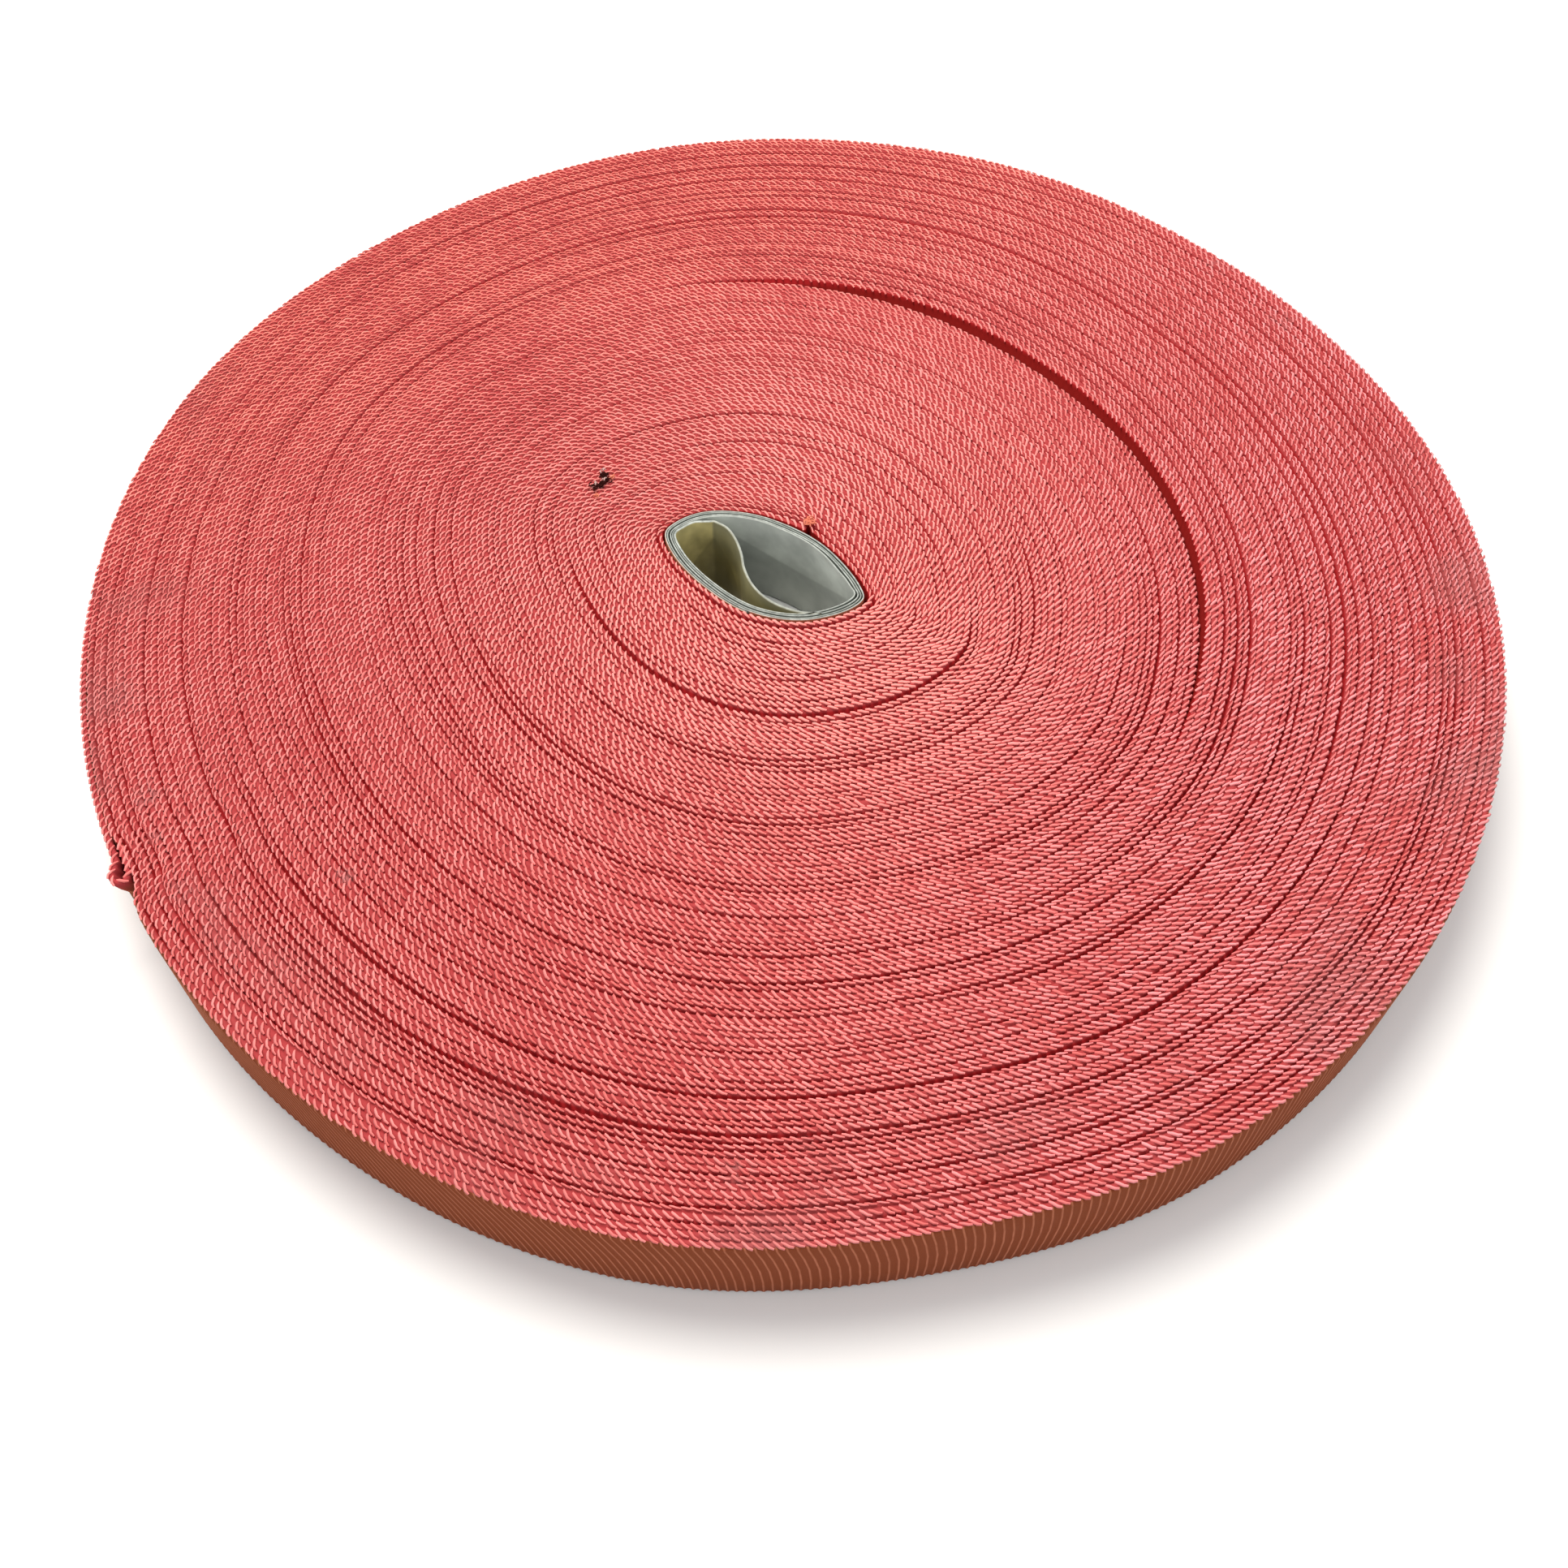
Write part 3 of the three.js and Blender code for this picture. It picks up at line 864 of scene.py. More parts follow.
def make_turns(context):
    """The wound ribbon as one closed body: a ridge for each turn above and below."""
    sizes = context.scene.ribbon_sizes
    columns = sizes.columns
    last = round(TURNS * columns)
    winding = np.arange(last + 1) / columns
    radius, half, lift = turns_at(winding)
    degrees = START + 360 * winding
    joints = np.arange(last + columns + 1) / columns
    joint_degrees = START + 360 * joints
    inner, outer = radius - half, radius + half

    # A joint lies between the turn outside it and the turn inside it, where there is one
    both = slice(columns, last + 1)
    within = slice(last + 1 - columns)
    joint_place = np.concatenate([inner, outer[-columns:] - EDGE["inset"]])
    joint_place[both] = (inner[both] + outer[within]) / 2
    joint_low = np.concatenate([lift, lift[-columns:]])
    joint_high = joint_low.copy()
    joint_low[both] = np.minimum(lift[both], lift[within])
    joint_high[both] = np.maximum(lift[both], lift[within])
    in_hole = joints < 1
    at_edge = in_hole | (joints > TURNS)
    depth = np.where(at_edge, EDGE["above"], joint_depth(joints))
    under_depth = np.where(at_edge, EDGE["below"], UNDERSIDE["depth"])
    top = RIBBON_WIDTH - sizes.pile_depth / MM

    def row(at, radii, heights):
        x, y = polar(at, radii)
        return np.stack([x, y, heights], 1)

    # Each row's drop sets its painted shade in turns_material, darker the further down
    rows = [row(joint_degrees, joint_place, top + joint_low - depth)]
    drops = [np.where(in_hole, HOLE_SHADE_DROP, joint_high - joint_low + depth)]
    for part in RIDGE:
        rows.append(row(degrees, inner + 2 * half * part["across"], top + lift - part["down"]))
        drops.append(np.full(last + 1, part["down"]))
    # Painted shade on the walls where one side of a joint stands higher
    drops[1] = drops[1] + WALL_SHADE_DROP * smooth(*WALL_SHADE_FROM, (joint_high - joint_low)[: last + 1])
    rows.append(row(joint_degrees, joint_place, np.maximum(joint_low, 0) + under_depth))
    drops.append(np.where(in_hole, HOLE_SHADE_DROP, UNDERSIDE["joint_drop"]))
    rows.append(row(degrees, radius, np.maximum(lift, 0)))
    drops.append(np.full(last + 1, UNDERSIDE["ridge_drop"]))
    starts = np.cumsum([0] + [len(r) for r in rows])
    top_joint, shoulder_in, ridge, shoulder_out, under_joint, under_ridge = starts[:6]

    def strip(low, high, shift=0, flip=False):
        """Quads between two rows, the second one a turn further out where it is shifted."""
        j = np.arange(last)
        quad = np.stack([low + j, high + shift + j, high + shift + j + 1, low + j + 1], 1)
        return quad[:, ::-1] if flip else quad

    def wall(low, high, first):
        """Quads of one turn of upright wall between two rows."""
        i = np.arange(first, first + columns)
        return np.stack([low + i, low + i + 1, high + i + 1, high + i], 1)

    def section(at):
        """Corners of the ribbon's cut end."""
        over = [top_joint + at, shoulder_in + at, ridge + at, shoulder_out + at, top_joint + at + columns]
        return [int(v) for v in [*over, under_joint + at + columns, under_ridge + at, under_joint + at]]

    quads = [
        strip(top_joint, shoulder_in),
        strip(shoulder_in, ridge),
        strip(ridge, shoulder_out),
        strip(shoulder_out, top_joint, shift=columns),
        strip(under_joint, under_ridge, flip=True),
        strip(under_ridge, under_joint, shift=columns, flip=True),
        wall(top_joint, under_joint, 0),
        wall(under_joint, top_joint, last),
    ]
    ends = [section(0)[::-1], section(last)]
    material = turns_material(context.scene.ribbon_colours)
    piece = new_piece("ribbon_turns", np.concatenate(rows), np.concatenate(quads), ends, material, "ribbon")
    set_attribute(piece, "drop", np.concatenate(drops))
    map_turns(piece, winding, columns, sizes.rib_pitch / MM)
    map_turns_for_baking(piece, columns, last)
    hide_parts("ribbon_roll")


def map_turns(piece, winding, columns, rib_pitch):
    """The ribbon's own map on the turns: ribs along it, turns across it."""
    ribs = np.interp(winding, WINDINGS, LENGTHS) / rib_pitch
    along = np.stack([ribs[:-1], ribs[:-1], ribs[1:], ribs[1:]], 1)
    back = along[:, ::-1]
    lap = np.stack([winding[:-1], winding[:-1], winding[1:], winding[1:]], 1)

    def map_rows(u, low, high):
        return np.stack([u, lap + np.array([low, high, high, low])], 2)

    across = [0, *[part["across"] for part in RIDGE], 1]
    maps = [map_rows(along, low, high) for low, high in zip(across, across[1:])]
    maps += [map_rows(back, 0.5, 0), map_rows(back, 1, 0.5)]
    first, second = ribs[:columns], ribs[1 : columns + 1]
    u = np.stack([first, second, second, first], 1)
    for heights in ([RIBBON_WIDTH, RIBBON_WIDTH, 0, 0], [0, 0, RIBBON_WIDTH, RIBBON_WIDTH]):
        maps.append(np.stack([u, np.broadcast_to(heights, u.shape)], 2))
    flat = np.concatenate([m.reshape(-1, 2) for m in maps])
    ends = np.zeros((len(piece.data.loops) - len(flat), 2))
    set_uv(piece, "Ribbon", np.concatenate([flat, ends]))


# The turns' baking map: the top large, and beside it the underside and the two walls, each one turn long
TOP_MAP = {"middle": 0.36, "size": 0.71}
UNDER_MAP = {"middle": 0.86, "size": 0.27}
WALL_MAP = {"inner": 0.75, "outer": 0.80, "height": 0.04, "length": 0.7}


def map_turns_for_baking(piece, columns, last):
    """A map on which the top, the underside and the walls lie apart."""
    at = corner_points(piece)
    share = at[:, :2] / MAP_SPAN
    bake = TOP_MAP["middle"] + share * TOP_MAP["size"]
    top_end = 4 * 4 * last
    under_end = top_end + 2 * 4 * last
    under = slice(top_end, under_end)
    bake[under] = UNDER_MAP["middle"] + share[under] * UNDER_MAP["size"]
    turn = np.arctan2(at[:, 1], at[:, 0]) / (2 * math.pi) + 0.5
    bake[under_end:, 0] = turn[under_end:]
    corners = 4 * columns
    for k, low in enumerate((WALL_MAP["inner"], WALL_MAP["outer"])):
        part = slice(under_end + k * corners, under_end + (k + 1) * corners)
        turns = bake[part, 0].reshape(-1, 4)
        wrapped = turns.max(1) - turns.min(1) > 0.5
        turns[wrapped] = np.where(turns[wrapped] < 0.5, turns[wrapped] + 1, turns[wrapped])
        bake[part, 0] = turns.ravel() * WALL_MAP["length"]
        bake[part, 1] = low + WALL_MAP["height"] * at[part, 2] / RIBBON_WIDTH
    set_uv(piece, "OFBake", bake)


def rib_crests(ribs, sizes):
    """Height of the ribs at each place along the ribbon, which is counted in ribs."""
    return (0.5 + 0.5 * np.cos(2 * math.pi * ribs)) ** 2 * sizes.rib_height / MM


def closed_strip(loops):
    """Points, quads and end faces of a closed strip that has these lines as its long edges."""
    count = len(loops[0])
    i = np.arange(count - 1)
    quads = []
    for k in range(len(loops)):
        low, high = k * count, (k + 1) % len(loops) * count
        quads.append(np.stack([low + i, low + i + 1, high + i + 1, high + i], 1))
    starts = [k * count for k in range(len(loops))]
    ends = [starts, [start + count - 1 for start in reversed(starts)]]
    return np.concatenate(loops), np.concatenate(quads), ends


def map_strip(piece, ribs, levels):
    """The ribbon's own map on a closed strip: ribs along it, and its long edges' levels across it."""
    u = np.stack([ribs[:-1], ribs[1:], ribs[1:], ribs[:-1]], 1)
    maps = []
    for low, high in zip(levels, np.roll(levels, -1)):
        v = np.broadcast_to([low, low, high, high], u.shape)
        maps.append(np.stack([u, v], 2).reshape(-1, 2))
    set_uv(piece, "Ribbon", np.concatenate([*maps, np.zeros((2 * len(levels), 2))]))


# The rim's face from its foot to its top: how high each row is, and how far it stands proud of the outer turn
RIM_ROWS = [
    {"height": 0.05, "proud": -0.12},
    {"height": 0.35, "proud": 0.0},
    {"height": 3.0, "proud": 0.0},
    {"height": 6.0, "proud": 0.0},
    {"height": 9.0, "proud": 0.0},
    {"height": 11.3, "proud": 0.0},
    {"height": 11.72, "proud": -0.14},
]

# The face's hidden back: its heights, their levels on the ribbon's map, and how deep it lies
RIM_BACK = [
    {"height": 11.6, "level": 11.9},
    {"height": 0.3, "level": -0.5},
]
RIM_SKIN = 0.3
RIB_STEPS = 6
LEAN_FADE = 8


def make_face(context):
    """The outer turn's ribbed face, a thin skin round the rim."""
    sizes = context.scene.ribbon_sizes
    pitch = sizes.rib_pitch / MM
    first = np.interp(TURNS - 1, WINDINGS, LENGTHS) / pitch
    final = LENGTHS[-1] / pitch
    ribs = np.linspace(first, final, int((final - first) * RIB_STEPS) + 1)
    winding = np.interp(ribs * pitch, LENGTHS, WINDINGS)
    radius, half, lift = turns_at(winding)
    crest = rib_crests(ribs, sizes)
    degrees = START + 360 * winding
    lean = by_direction(RIB_LEAN, "lean", degrees)
    from_ends = np.minimum(winding - winding[0], winding[-1] - winding) * 360
    loops = []
    for row in RIM_ROWS:
        share = row["height"] / RIBBON_WIDTH
        z = row["height"] + np.maximum(lift, 0) * (1 - share) + lift * share
        slid = np.degrees((lean * (1 - share) + RIB_BOW * math.sin(math.pi * share)) / radius)
        slid = slid * smooth(0, LEAN_FADE, from_ends)
        there, half_there, _ = turns_at(np.clip(winding + slid / 360, winding[0], winding[-1]))
        x, y = polar(degrees + slid, there + half_there + crest * (row["proud"] == 0) + row["proud"])
        loops.append(np.stack([x, y, z], 1))
    x, y = polar(degrees, radius + half - RIM_SKIN)
    for row in RIM_BACK:
        loops.append(np.stack([x, y, row["height"] + np.maximum(lift, 0)], 1))
    material = face_material(context.scene.ribbon_colours)
    piece = new_piece("rim_face", *closed_strip(loops), material, "ribbon")
    levels = [row["height"] for row in RIM_ROWS] + [row["level"] for row in RIM_BACK]
    map_strip(piece, ribs, np.array(levels) / pitch)


# A selvedge loop's line: rib pitches along the ribbon, ribbon thicknesses across it, and crowns up
LOOP_LINE = {
    "Start": (-0.42, 0.40, -1.4),
    "Start Handle": (-0.12, 0.30, 0.8),
    "End Handle": (0.10, -0.44, 1.4),
    "End": (0.72, -0.40, -0.6),
}
LOOP_POINTS = 4
LOOP_SIDES = 3
LOOP_GIRTH = {"start": 0.9, "swell": 0.6, "fall": 0.8}
LOOP_TONES = {"Min": 0.15, "Max": 1.1}
NOMINAL_THICKNESS = 0.68


def group_input(tree, name, kind, default=None):
    """A named input of a node tree; gives the identifier by which a modifier sets it."""
    socket = tree.interface.new_socket(name, in_out="INPUT", socket_type=kind)
    if default is not None:
        socket.default_value = default
    return socket.identifier


def loop_tree():
    """Geometry nodes that put one slanted selvedge loop on each point of the ribbon's edge."""
    tree = bpy.data.node_groups.new("Selvedge loops", "GeometryNodeTree")
    group_input(tree, "Geometry", "NodeSocketGeometry")
    keys = {
        "pitch": group_input(tree, "Rib Pitch", "NodeSocketFloat", 0.87 * MM),
        "across": group_input(tree, "Ribbon Thickness", "NodeSocketFloat", NOMINAL_THICKNESS * MM),
        "thread": group_input(tree, "Thread Radius", "NodeSocketFloat", 0.16 * MM),
        "crown": group_input(tree, "Crown", "NodeSocketFloat", 0.1 * MM),
        "seed": group_input(tree, "Seed", "NodeSocketInt", SEED),
        "material": group_input(tree, "Material", "NodeSocketMaterial"),
    }
    tree.interface.new_socket("Geometry", in_out="OUTPUT", socket_type="NodeSocketGeometry")
    given = tree.nodes.new("NodeGroupInput").outputs

    def scaled(along, across, up):
        """A point given in rib pitches, ribbon thicknesses and crowns."""
        parts = (("Rib Pitch", along), ("Ribbon Thickness", across), ("Crown", up))
        place = {k: times(tree, given[name], share) for k, (name, share) in enumerate(parts)}
        return add_node(tree, "ShaderNodeCombineXYZ", place).outputs[0]

    def geometry(kind, inputs, **settings):
        return add_node(tree, "GeometryNode" + kind, inputs, **settings).outputs[0]

    def named(name, kind):
        return geometry("InputNamedAttribute", {"Name": name}, data_type=kind)

    ends = {name: scaled(*place) for name, place in LOOP_LINE.items()}
    line = geometry("CurvePrimitiveBezierSegment", {"Resolution": 12, **ends})
    line = geometry("ResampleCurve", {"Curve": line, "Count": LOOP_POINTS})
    line = geometry("SetCurveNormal", {"Curve": line}, mode="Z_UP")
    along = add_node(tree, "GeometryNodeSplineParameter").outputs["Factor"]
    swell = minus(tree, LOOP_GIRTH["swell"], times(tree, along, LOOP_GIRTH["fall"]))
    taper = plus(tree, LOOP_GIRTH["start"], times(tree, along, swell))
    line = geometry("SetCurveRadius", {"Curve": line, "Radius": taper})
    ring = geometry("CurvePrimitiveCircle", {"Resolution": LOOP_SIDES, "Radius": given["Thread Radius"]})
    shape = {"Curve": line, "Profile Curve": ring, "Fill Caps": True}
    thread = add_node(tree, "GeometryNodeCurveToMesh", shape)
    if "Scale" in thread.inputs:
        link_in(tree, thread.inputs["Scale"], taper)

    turn = add_node(tree, "ShaderNodeCombineXYZ", {"Z": named("heading", "FLOAT")}).outputs[0]
    layout = {"Points": given["Geometry"], "Instance": thread.outputs[0], "Rotation": turn}
    placed = geometry("InstanceOnPoints", {**layout, "Scale": named("girth", "FLOAT_VECTOR")})
    tone = add_node(tree, "FunctionNodeRandomValue", {"Seed": given["Seed"]}, data_type="FLOAT")
    for socket in tone.inputs:
        if socket.type == "VALUE" and socket.name in LOOP_TONES:
            socket.default_value = LOOP_TONES[socket.name]
    value = next(o for o in tone.outputs if o.type == "VALUE")
    store = {"Geometry": placed, "Name": "tone", "Value": value}
    stored = geometry("StoreNamedAttribute", store, data_type="FLOAT", domain="INSTANCE")
    real = geometry("RealizeInstances", {"Geometry": stored})
    soft = geometry("SetShadeSmooth", {"Geometry": real})
    done = geometry("SetMaterial", {"Geometry": soft, "Material": given["Material"]})
    tree.links.new(done, tree.nodes.new("NodeGroupOutput").inputs[0])
    return tree, keys


def loops_on(context, name, frames, seed, tree, keys, material):
    """One piece of realized loops, given their points, headings and girths."""
    points, heading, girth = frames
    sizes = context.scene.ribbon_sizes
    mesh = bpy.data.meshes.new(name + "_points")
    mesh.from_pydata((points * MM).tolist(), [], [])
    headings = mesh.attributes.new("heading", "FLOAT", "POINT")
    headings.data.foreach_set("value", heading.astype(np.float32))
    girths = mesh.attributes.new("girth", "FLOAT_VECTOR", "POINT")
    girths.data.foreach_set("vector", girth.astype(np.float32).ravel())
    source = bpy.data.objects.new(name + "_points", mesh)
    context.scene.collection.objects.link(source)
    modifier = source.modifiers.new("Loops", "NODES")
    modifier.node_group = tree
    modifier[keys["pitch"]] = sizes.rib_pitch
    modifier[keys["across"]] = NOMINAL_THICKNESS * MM
    modifier[keys["thread"]] = sizes.thread
    modifier[keys["crown"]] = sizes.crown
    modifier[keys["seed"]] = seed
    modifier[keys["material"]] = material
    evaluated = source.evaluated_get(context.evaluated_depsgraph_get())
    made = bpy.data.meshes.new_from_object(evaluated)
    bpy.data.objects.remove(source)
    made.name = name
    piece = bpy.data.objects.new(name, made)
    context.scene.collection.objects.link(piece)
    map_from_above(piece)
    finish_piece(piece)
    return piece


def line_frames(x, y, z, thickness):
    """Points, headings and scales for loops along a line, given the ribbon's thickness across it."""
    heading = np.arctan2(np.gradient(y), np.gradient(x))
    points = np.stack([x, y, z], 1)
    girth = np.stack([np.ones_like(x), thickness / NOMINAL_THICKNESS, np.ones_like(x)], 1)
    return points, heading, girth


# How unevenly the loops lie: along the ribbon in pitches, across it as a share, in heading and in height
LOOP_STRAY = {"along": 0.08, "across": 0.1, "turn": 0.08, "up": 0.012}
LOOP_SINK = 0.16
MIDDLE_RADIUS = 45.0
LOOP_PIECES = ["selvedge_inner", "selvedge_middle", "selvedge_outer", "selvedge_rim"]

# The loops of the first turn stand up a little more
FIRST_LOOPS = {"to": 1.02, "girth": (1.0, 0.98, 1.3)}


def make_loops(context):
    """The selvedge loops of all turns, in four rings."""
    pitch = context.scene.ribbon_sizes.rib_pitch / MM
    rng = np.random.default_rng(SEED + 5)
    count = int(LENGTHS[-1] / pitch)
    along = (np.arange(count) + 0.5 + rng.normal(0, LOOP_STRAY["along"], count)) * pitch
    winding = np.interp(along, LENGTHS, WINDINGS)
    winding = winding + wander(winding, CREEP) * pitch / (2 * math.pi * MIDDLE_RADIUS)
    winding = np.clip(winding, 0, TURNS)
    radius, half, lift = turns_at(winding)
    degrees = START + 360 * winding
    x, y = polar(degrees, radius)
    z = RIBBON_WIDTH + lift - LOOP_SINK + rng.normal(0, LOOP_STRAY["up"], count)
    points, heading, girth = line_frames(x, y, z, 2 * half)
    slope = np.abs(np.cos(np.radians(degrees) - (heading - math.pi / 2)))
    girth[:, 1] *= slope * rng.normal(1.0, LOOP_STRAY["across"], count)
    heading = heading + rng.normal(0, LOOP_STRAY["turn"], count)
    girth[winding < FIRST_LOOPS["to"]] *= FIRST_LOOPS["girth"]
    tree, keys = loop_tree()
    material = loop_material(context.scene.ribbon_colours)
    parts = np.array_split(np.arange(count), len(LOOP_PIECES))
    for k, (name, part) in enumerate(zip(LOOP_PIECES, parts)):
        frames = points[part], heading[part], girth[part]
        loops_on(context, name, frames, SEED + k, tree, keys, material)


# The loose end's middle line: its inset, its start past the last turn, and its tail's deepest place
LEG_INSET = 0.34
ROOT_GAP = 0.15
TAIL_INSET = 1.12
LEG_POINTS = 120
FOLD_POINTS = 25


def leg_radius(degrees, share):
    """Middle of the loose end's leg at a share of the ribbon's width up from its lower edge."""
    opened = END["flare"] * smooth(*FLARED_SHARE, share)
    return rim_radius(degrees) - LEG_INSET + opened * smooth(END["flare_from"], END["fold"], degrees)


def end_line(share):
    """Middle line of the loose end at a share of its width, from its root to its folded-in cut end."""
    bend = END["tight"] + END["open"] * smooth(*FLARED_SHARE, share)
    root = START + 360 * (TURNS % 1) + ROOT_GAP
    at = np.linspace(root, END["fold"], LEG_POINTS)
    leg = np.stack(polar(at, leg_radius(at, share)), 1)
    outward = np.array(polar(END["fold"], 1.0))
    onward = np.array([-outward[1], outward[0]])
    turn = np.linspace(0, math.pi, FOLD_POINTS)[1:, None]
    fold = leg[-1] - outward * bend + bend * (np.cos(turn) * outward + np.sin(turn) * onward)
    tail = END["tail"] + math.pi * (END["tight"] + END["open"] - bend)
    at = np.linspace(END["fold"], END["fold"] - math.degrees(tail / ROLL_RADIUS), FOLD_POINTS)[1:]
    inside = np.minimum(leg_radius(at, share), leg_radius(END["fold"], share)) - 2 * bend
    inside = np.maximum(inside, rim_radius(at) - TAIL_INSET)
    return np.concatenate([leg, fold, np.stack(polar(at, inside), 1)])


def lengths_along(line):
    """Length from a flat line's start to each of its points."""
    return np.concatenate([[0], np.cumsum(np.hypot(*np.diff(line, axis=0).T))])


def spaced(line, count):
    """The line with this many points, an even step apart."""
    length = lengths_along(line)
    at = np.linspace(0, length[-1], count)
    return np.stack([np.interp(at, length, line[:, k]) for k in (0, 1)], 1)


def normals_of(line):
    """Unit normals to the right of a line."""
    along = np.gradient(line, axis=0)
    along /= np.linalg.norm(along, axis=1)[:, None]
    return np.stack([along[:, 1], -along[:, 0]], 1)


def strip_on_edge(rows):
    """A closed strip from its rows; each row is a line, its shift to the right and its height."""
    loops = []
    for line, side, height in rows:
        flat = line + normals_of(line) * np.broadcast_to(side, len(line))[:, None]
        loops.append(np.concatenate([flat, np.full((len(line), 1), height)], 1))
    return closed_strip(loops)


# The loose end's section: half its thickness, how far its two edges lie in, and its heights from foot to top
STRIP_HALF = 0.26
STRIP_FOOT = {"height": 0.03, "inset": 0.1}
STRIP_TOP = {"height": RIBBON_WIDTH - 0.2, "inset": 0.12}
STRIP_HEIGHTS = (0.3, 4.0, 7.5, 8.6, 9.5, 10.4, STRIP_TOP["height"] - 0.3)
STRIP_LOOPS = 0.72

# Coral light fills the fold: how far before the flare it sets in, and between which heights on either side
BLUSH = {"before": 4, "full": 1, "inside": (3, 8), "outside": (9.4, 11.5), "top": 0.2}


def make_loose_end(context):
    """The outer turn's last stretch, its top flared and its cut end folded in, with its own loops on top."""
    sizes = context.scene.ribbon_sizes
    pitch = sizes.rib_pitch / MM
    length = lengths_along(end_line(1.0))[-1]
    count = int(length / pitch * RIB_STEPS) + 1
    ribs = np.linspace(0, length / pitch, count)
    face = STRIP_HALF + rib_crests(ribs, sizes)
    top = STRIP_TOP["height"]
    rows = [(STRIP_HALF - STRIP_FOOT["inset"], STRIP_FOOT["height"])]
    rows += [(face, height) for height in STRIP_HEIGHTS]
    rows.append((STRIP_HALF - STRIP_TOP["inset"], top))
    rows += [(-side, height) for side, height in reversed(rows)]
    rows = [(spaced(end_line(height / RIBBON_WIDTH), count), side, height) for side, height in rows]
    points, quads, ends = strip_on_edge(rows)
    material = face_material(context.scene.ribbon_colours)
    piece = new_piece("loose_end_strip", points, quads, ends, material, "ribbon")
    map_strip(piece, ribs, np.array([height for _, _, height in rows]) / pitch)
    inside = np.repeat([np.mean(side) < 0 for _, side, _ in rows], count)
    degrees = np.degrees(np.arctan2(points[:, 1], points[:, 0])) % 360
    near_fold = smooth(END["flare_from"] - BLUSH["before"], END["flare_from"] - BLUSH["full"], degrees)
    height = points[:, 2]
    filled = np.where(inside, smooth(*BLUSH["inside"], height), smooth(*BLUSH["outside"], height))
    blush = np.maximum(near_fold * filled, smooth(top - BLUSH["top"], top, height))
    set_attribute(piece, "blush", blush)
    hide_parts("loose_end")

    count = int(length / pitch)
    x, y = spaced(end_line(1.0), count).T
    frames = line_frames(x, y, np.full(count, RIBBON_WIDTH - LOOP_SINK), np.full(count, STRIP_LOOPS))
    tree, keys = loop_tree()
    material = bpy.data.materials["ribbon_loops"]
    loops = loops_on(context, "loose_end_selvedge", frames, SEED + 9, tree, keys, material)


# The card's laps: start past the S and step in degrees, gap, and how the wall thickens at the tip
LAPS = {"start": 6, "step": 1.5, "gap": 0.02, "tip_span": 35, "tip_share": 0.25}

# The laps lie a little loosely, and where the outline is steep their inset grows, up to a limit
LAP_PLAY = {"size": 0.05, "waves": 1.37}
STEEPEST = 1.35


def card_line(look):
    """Middle line of the card strip, from its inner end across the hole and out through its laps.

    Also gives the number of laps made at each point, which is 0 on the stretch across the hole.
    """
    web = smooth_line(WEB_LINE, False, 12)
    begin = math.degrees(math.atan2(WEB_LINE[-1][1], WEB_LINE[-1][0]))
    thick = look.thickness / MM
    at = np.arange(begin + LAPS["start"], begin + 360 * look.laps, LAPS["step"])
    laps = (at - begin) / 360
    share = laps / look.laps
    tip = np.exp(-((near(at, CORE_TIP) - CORE_TIP) / LAPS["tip_span"]) ** 2)
    wall = CORE_WALL * (1 + LAPS["tip_share"] * tip)
    gap = LAPS["gap"]
    loose = LAP_PLAY["size"] * np.sin(np.radians(LAP_PLAY["waves"] * at)) * 4 * share * (1 - share)
    inset = gap + thick / 2 + (wall - thick - gap) * (1 - share) + loose
    step = 0.5
    slope = (core_radius(at + step) - core_radius(at - step)) / (2 * math.radians(step)) / core_radius(at)
    inset = inset * np.minimum(np.sqrt(1 + slope**2), STEEPEST)
    line = np.concatenate([web, np.stack(polar(at, core_radius(at) - inset), 1)])
    return line, np.concatenate([np.zeros(len(web)), laps])


def make_core(context):
    """The card strip on edge: the S across the hole and the layered lens round it."""
    look = context.scene.card_look
    rough_line, rough_laps = card_line(look)
    rough_length = lengths_along(rough_line)
    count = int(rough_length[-1] / CARD_STEP)
    line = spaced(rough_line, count)
    laps = np.interp(np.linspace(0, rough_length[-1], count), rough_length, rough_laps)
    half = look.thickness / MM / 2 + 0.07 * (1 - smooth(0, 0.12, laps))
    height = RIBBON_WIDTH - 0.02
    rows = [(half * 0.7, 0.0), (half, 0.06), (half, 6.0), (half, height - 0.1), (half * 0.75, height)]
    rows += [(-side, z) for side, z in reversed(rows)]
    points, quads, ends = strip_on_edge([(line, side, z) for side, z in rows])
    piece = new_piece("card_core", points, quads, ends, card_material(look), "card")

    # Where each point lies: in the left chamber, on a cut edge, or against the ribbon
    sides = len(rows)
    to_the_right = np.repeat(np.arange(sides) < sides // 2, count)
    point_laps = np.tile(laps, sides)
    web = smooth_line(WEB_LINE, False, 12)
    web_x = np.interp(points[:, 1], web[:, 1], web[:, 0])
    on_web = point_laps == 0
    zone = np.ones((len(points), 4), np.float32)
    zone[:, 0] = np.where(on_web, ~to_the_right, (points[:, 0] < web_x) & (point_laps < 0.9))
    edge_shade = np.where(on_web, WEB_EDGE, 0.7 + 0.3 * np.cos(math.pi * point_laps * 1.1))
    zone[:, 1] = np.where(points[:, 2] > height - 0.05, edge_shade, 0)
    zone[:, 2] = to_the_right & (point_laps > look.laps - 1)
    piece.data.attributes.new("zone", "FLOAT_COLOR", "POINT").data.foreach_set("color", zone.ravel())
    # Painted shade on the card's sides between laps, and a darker top edge on the S
    inner_side = ~to_the_right & (point_laps < 1.03)
    between = np.where(on_web | inner_side | (zone[:, 2] > 0), 0, 1.0)
    set_attribute(piece, "between", np.where(on_web & (points[:, 2] > height - 0.2), WEB_EDGE, between))
    # Painted shade on the S's left side
    set_attribute(piece, "dim", np.where(on_web & ~to_the_right, WEB_DIM, 0))
    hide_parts("core")


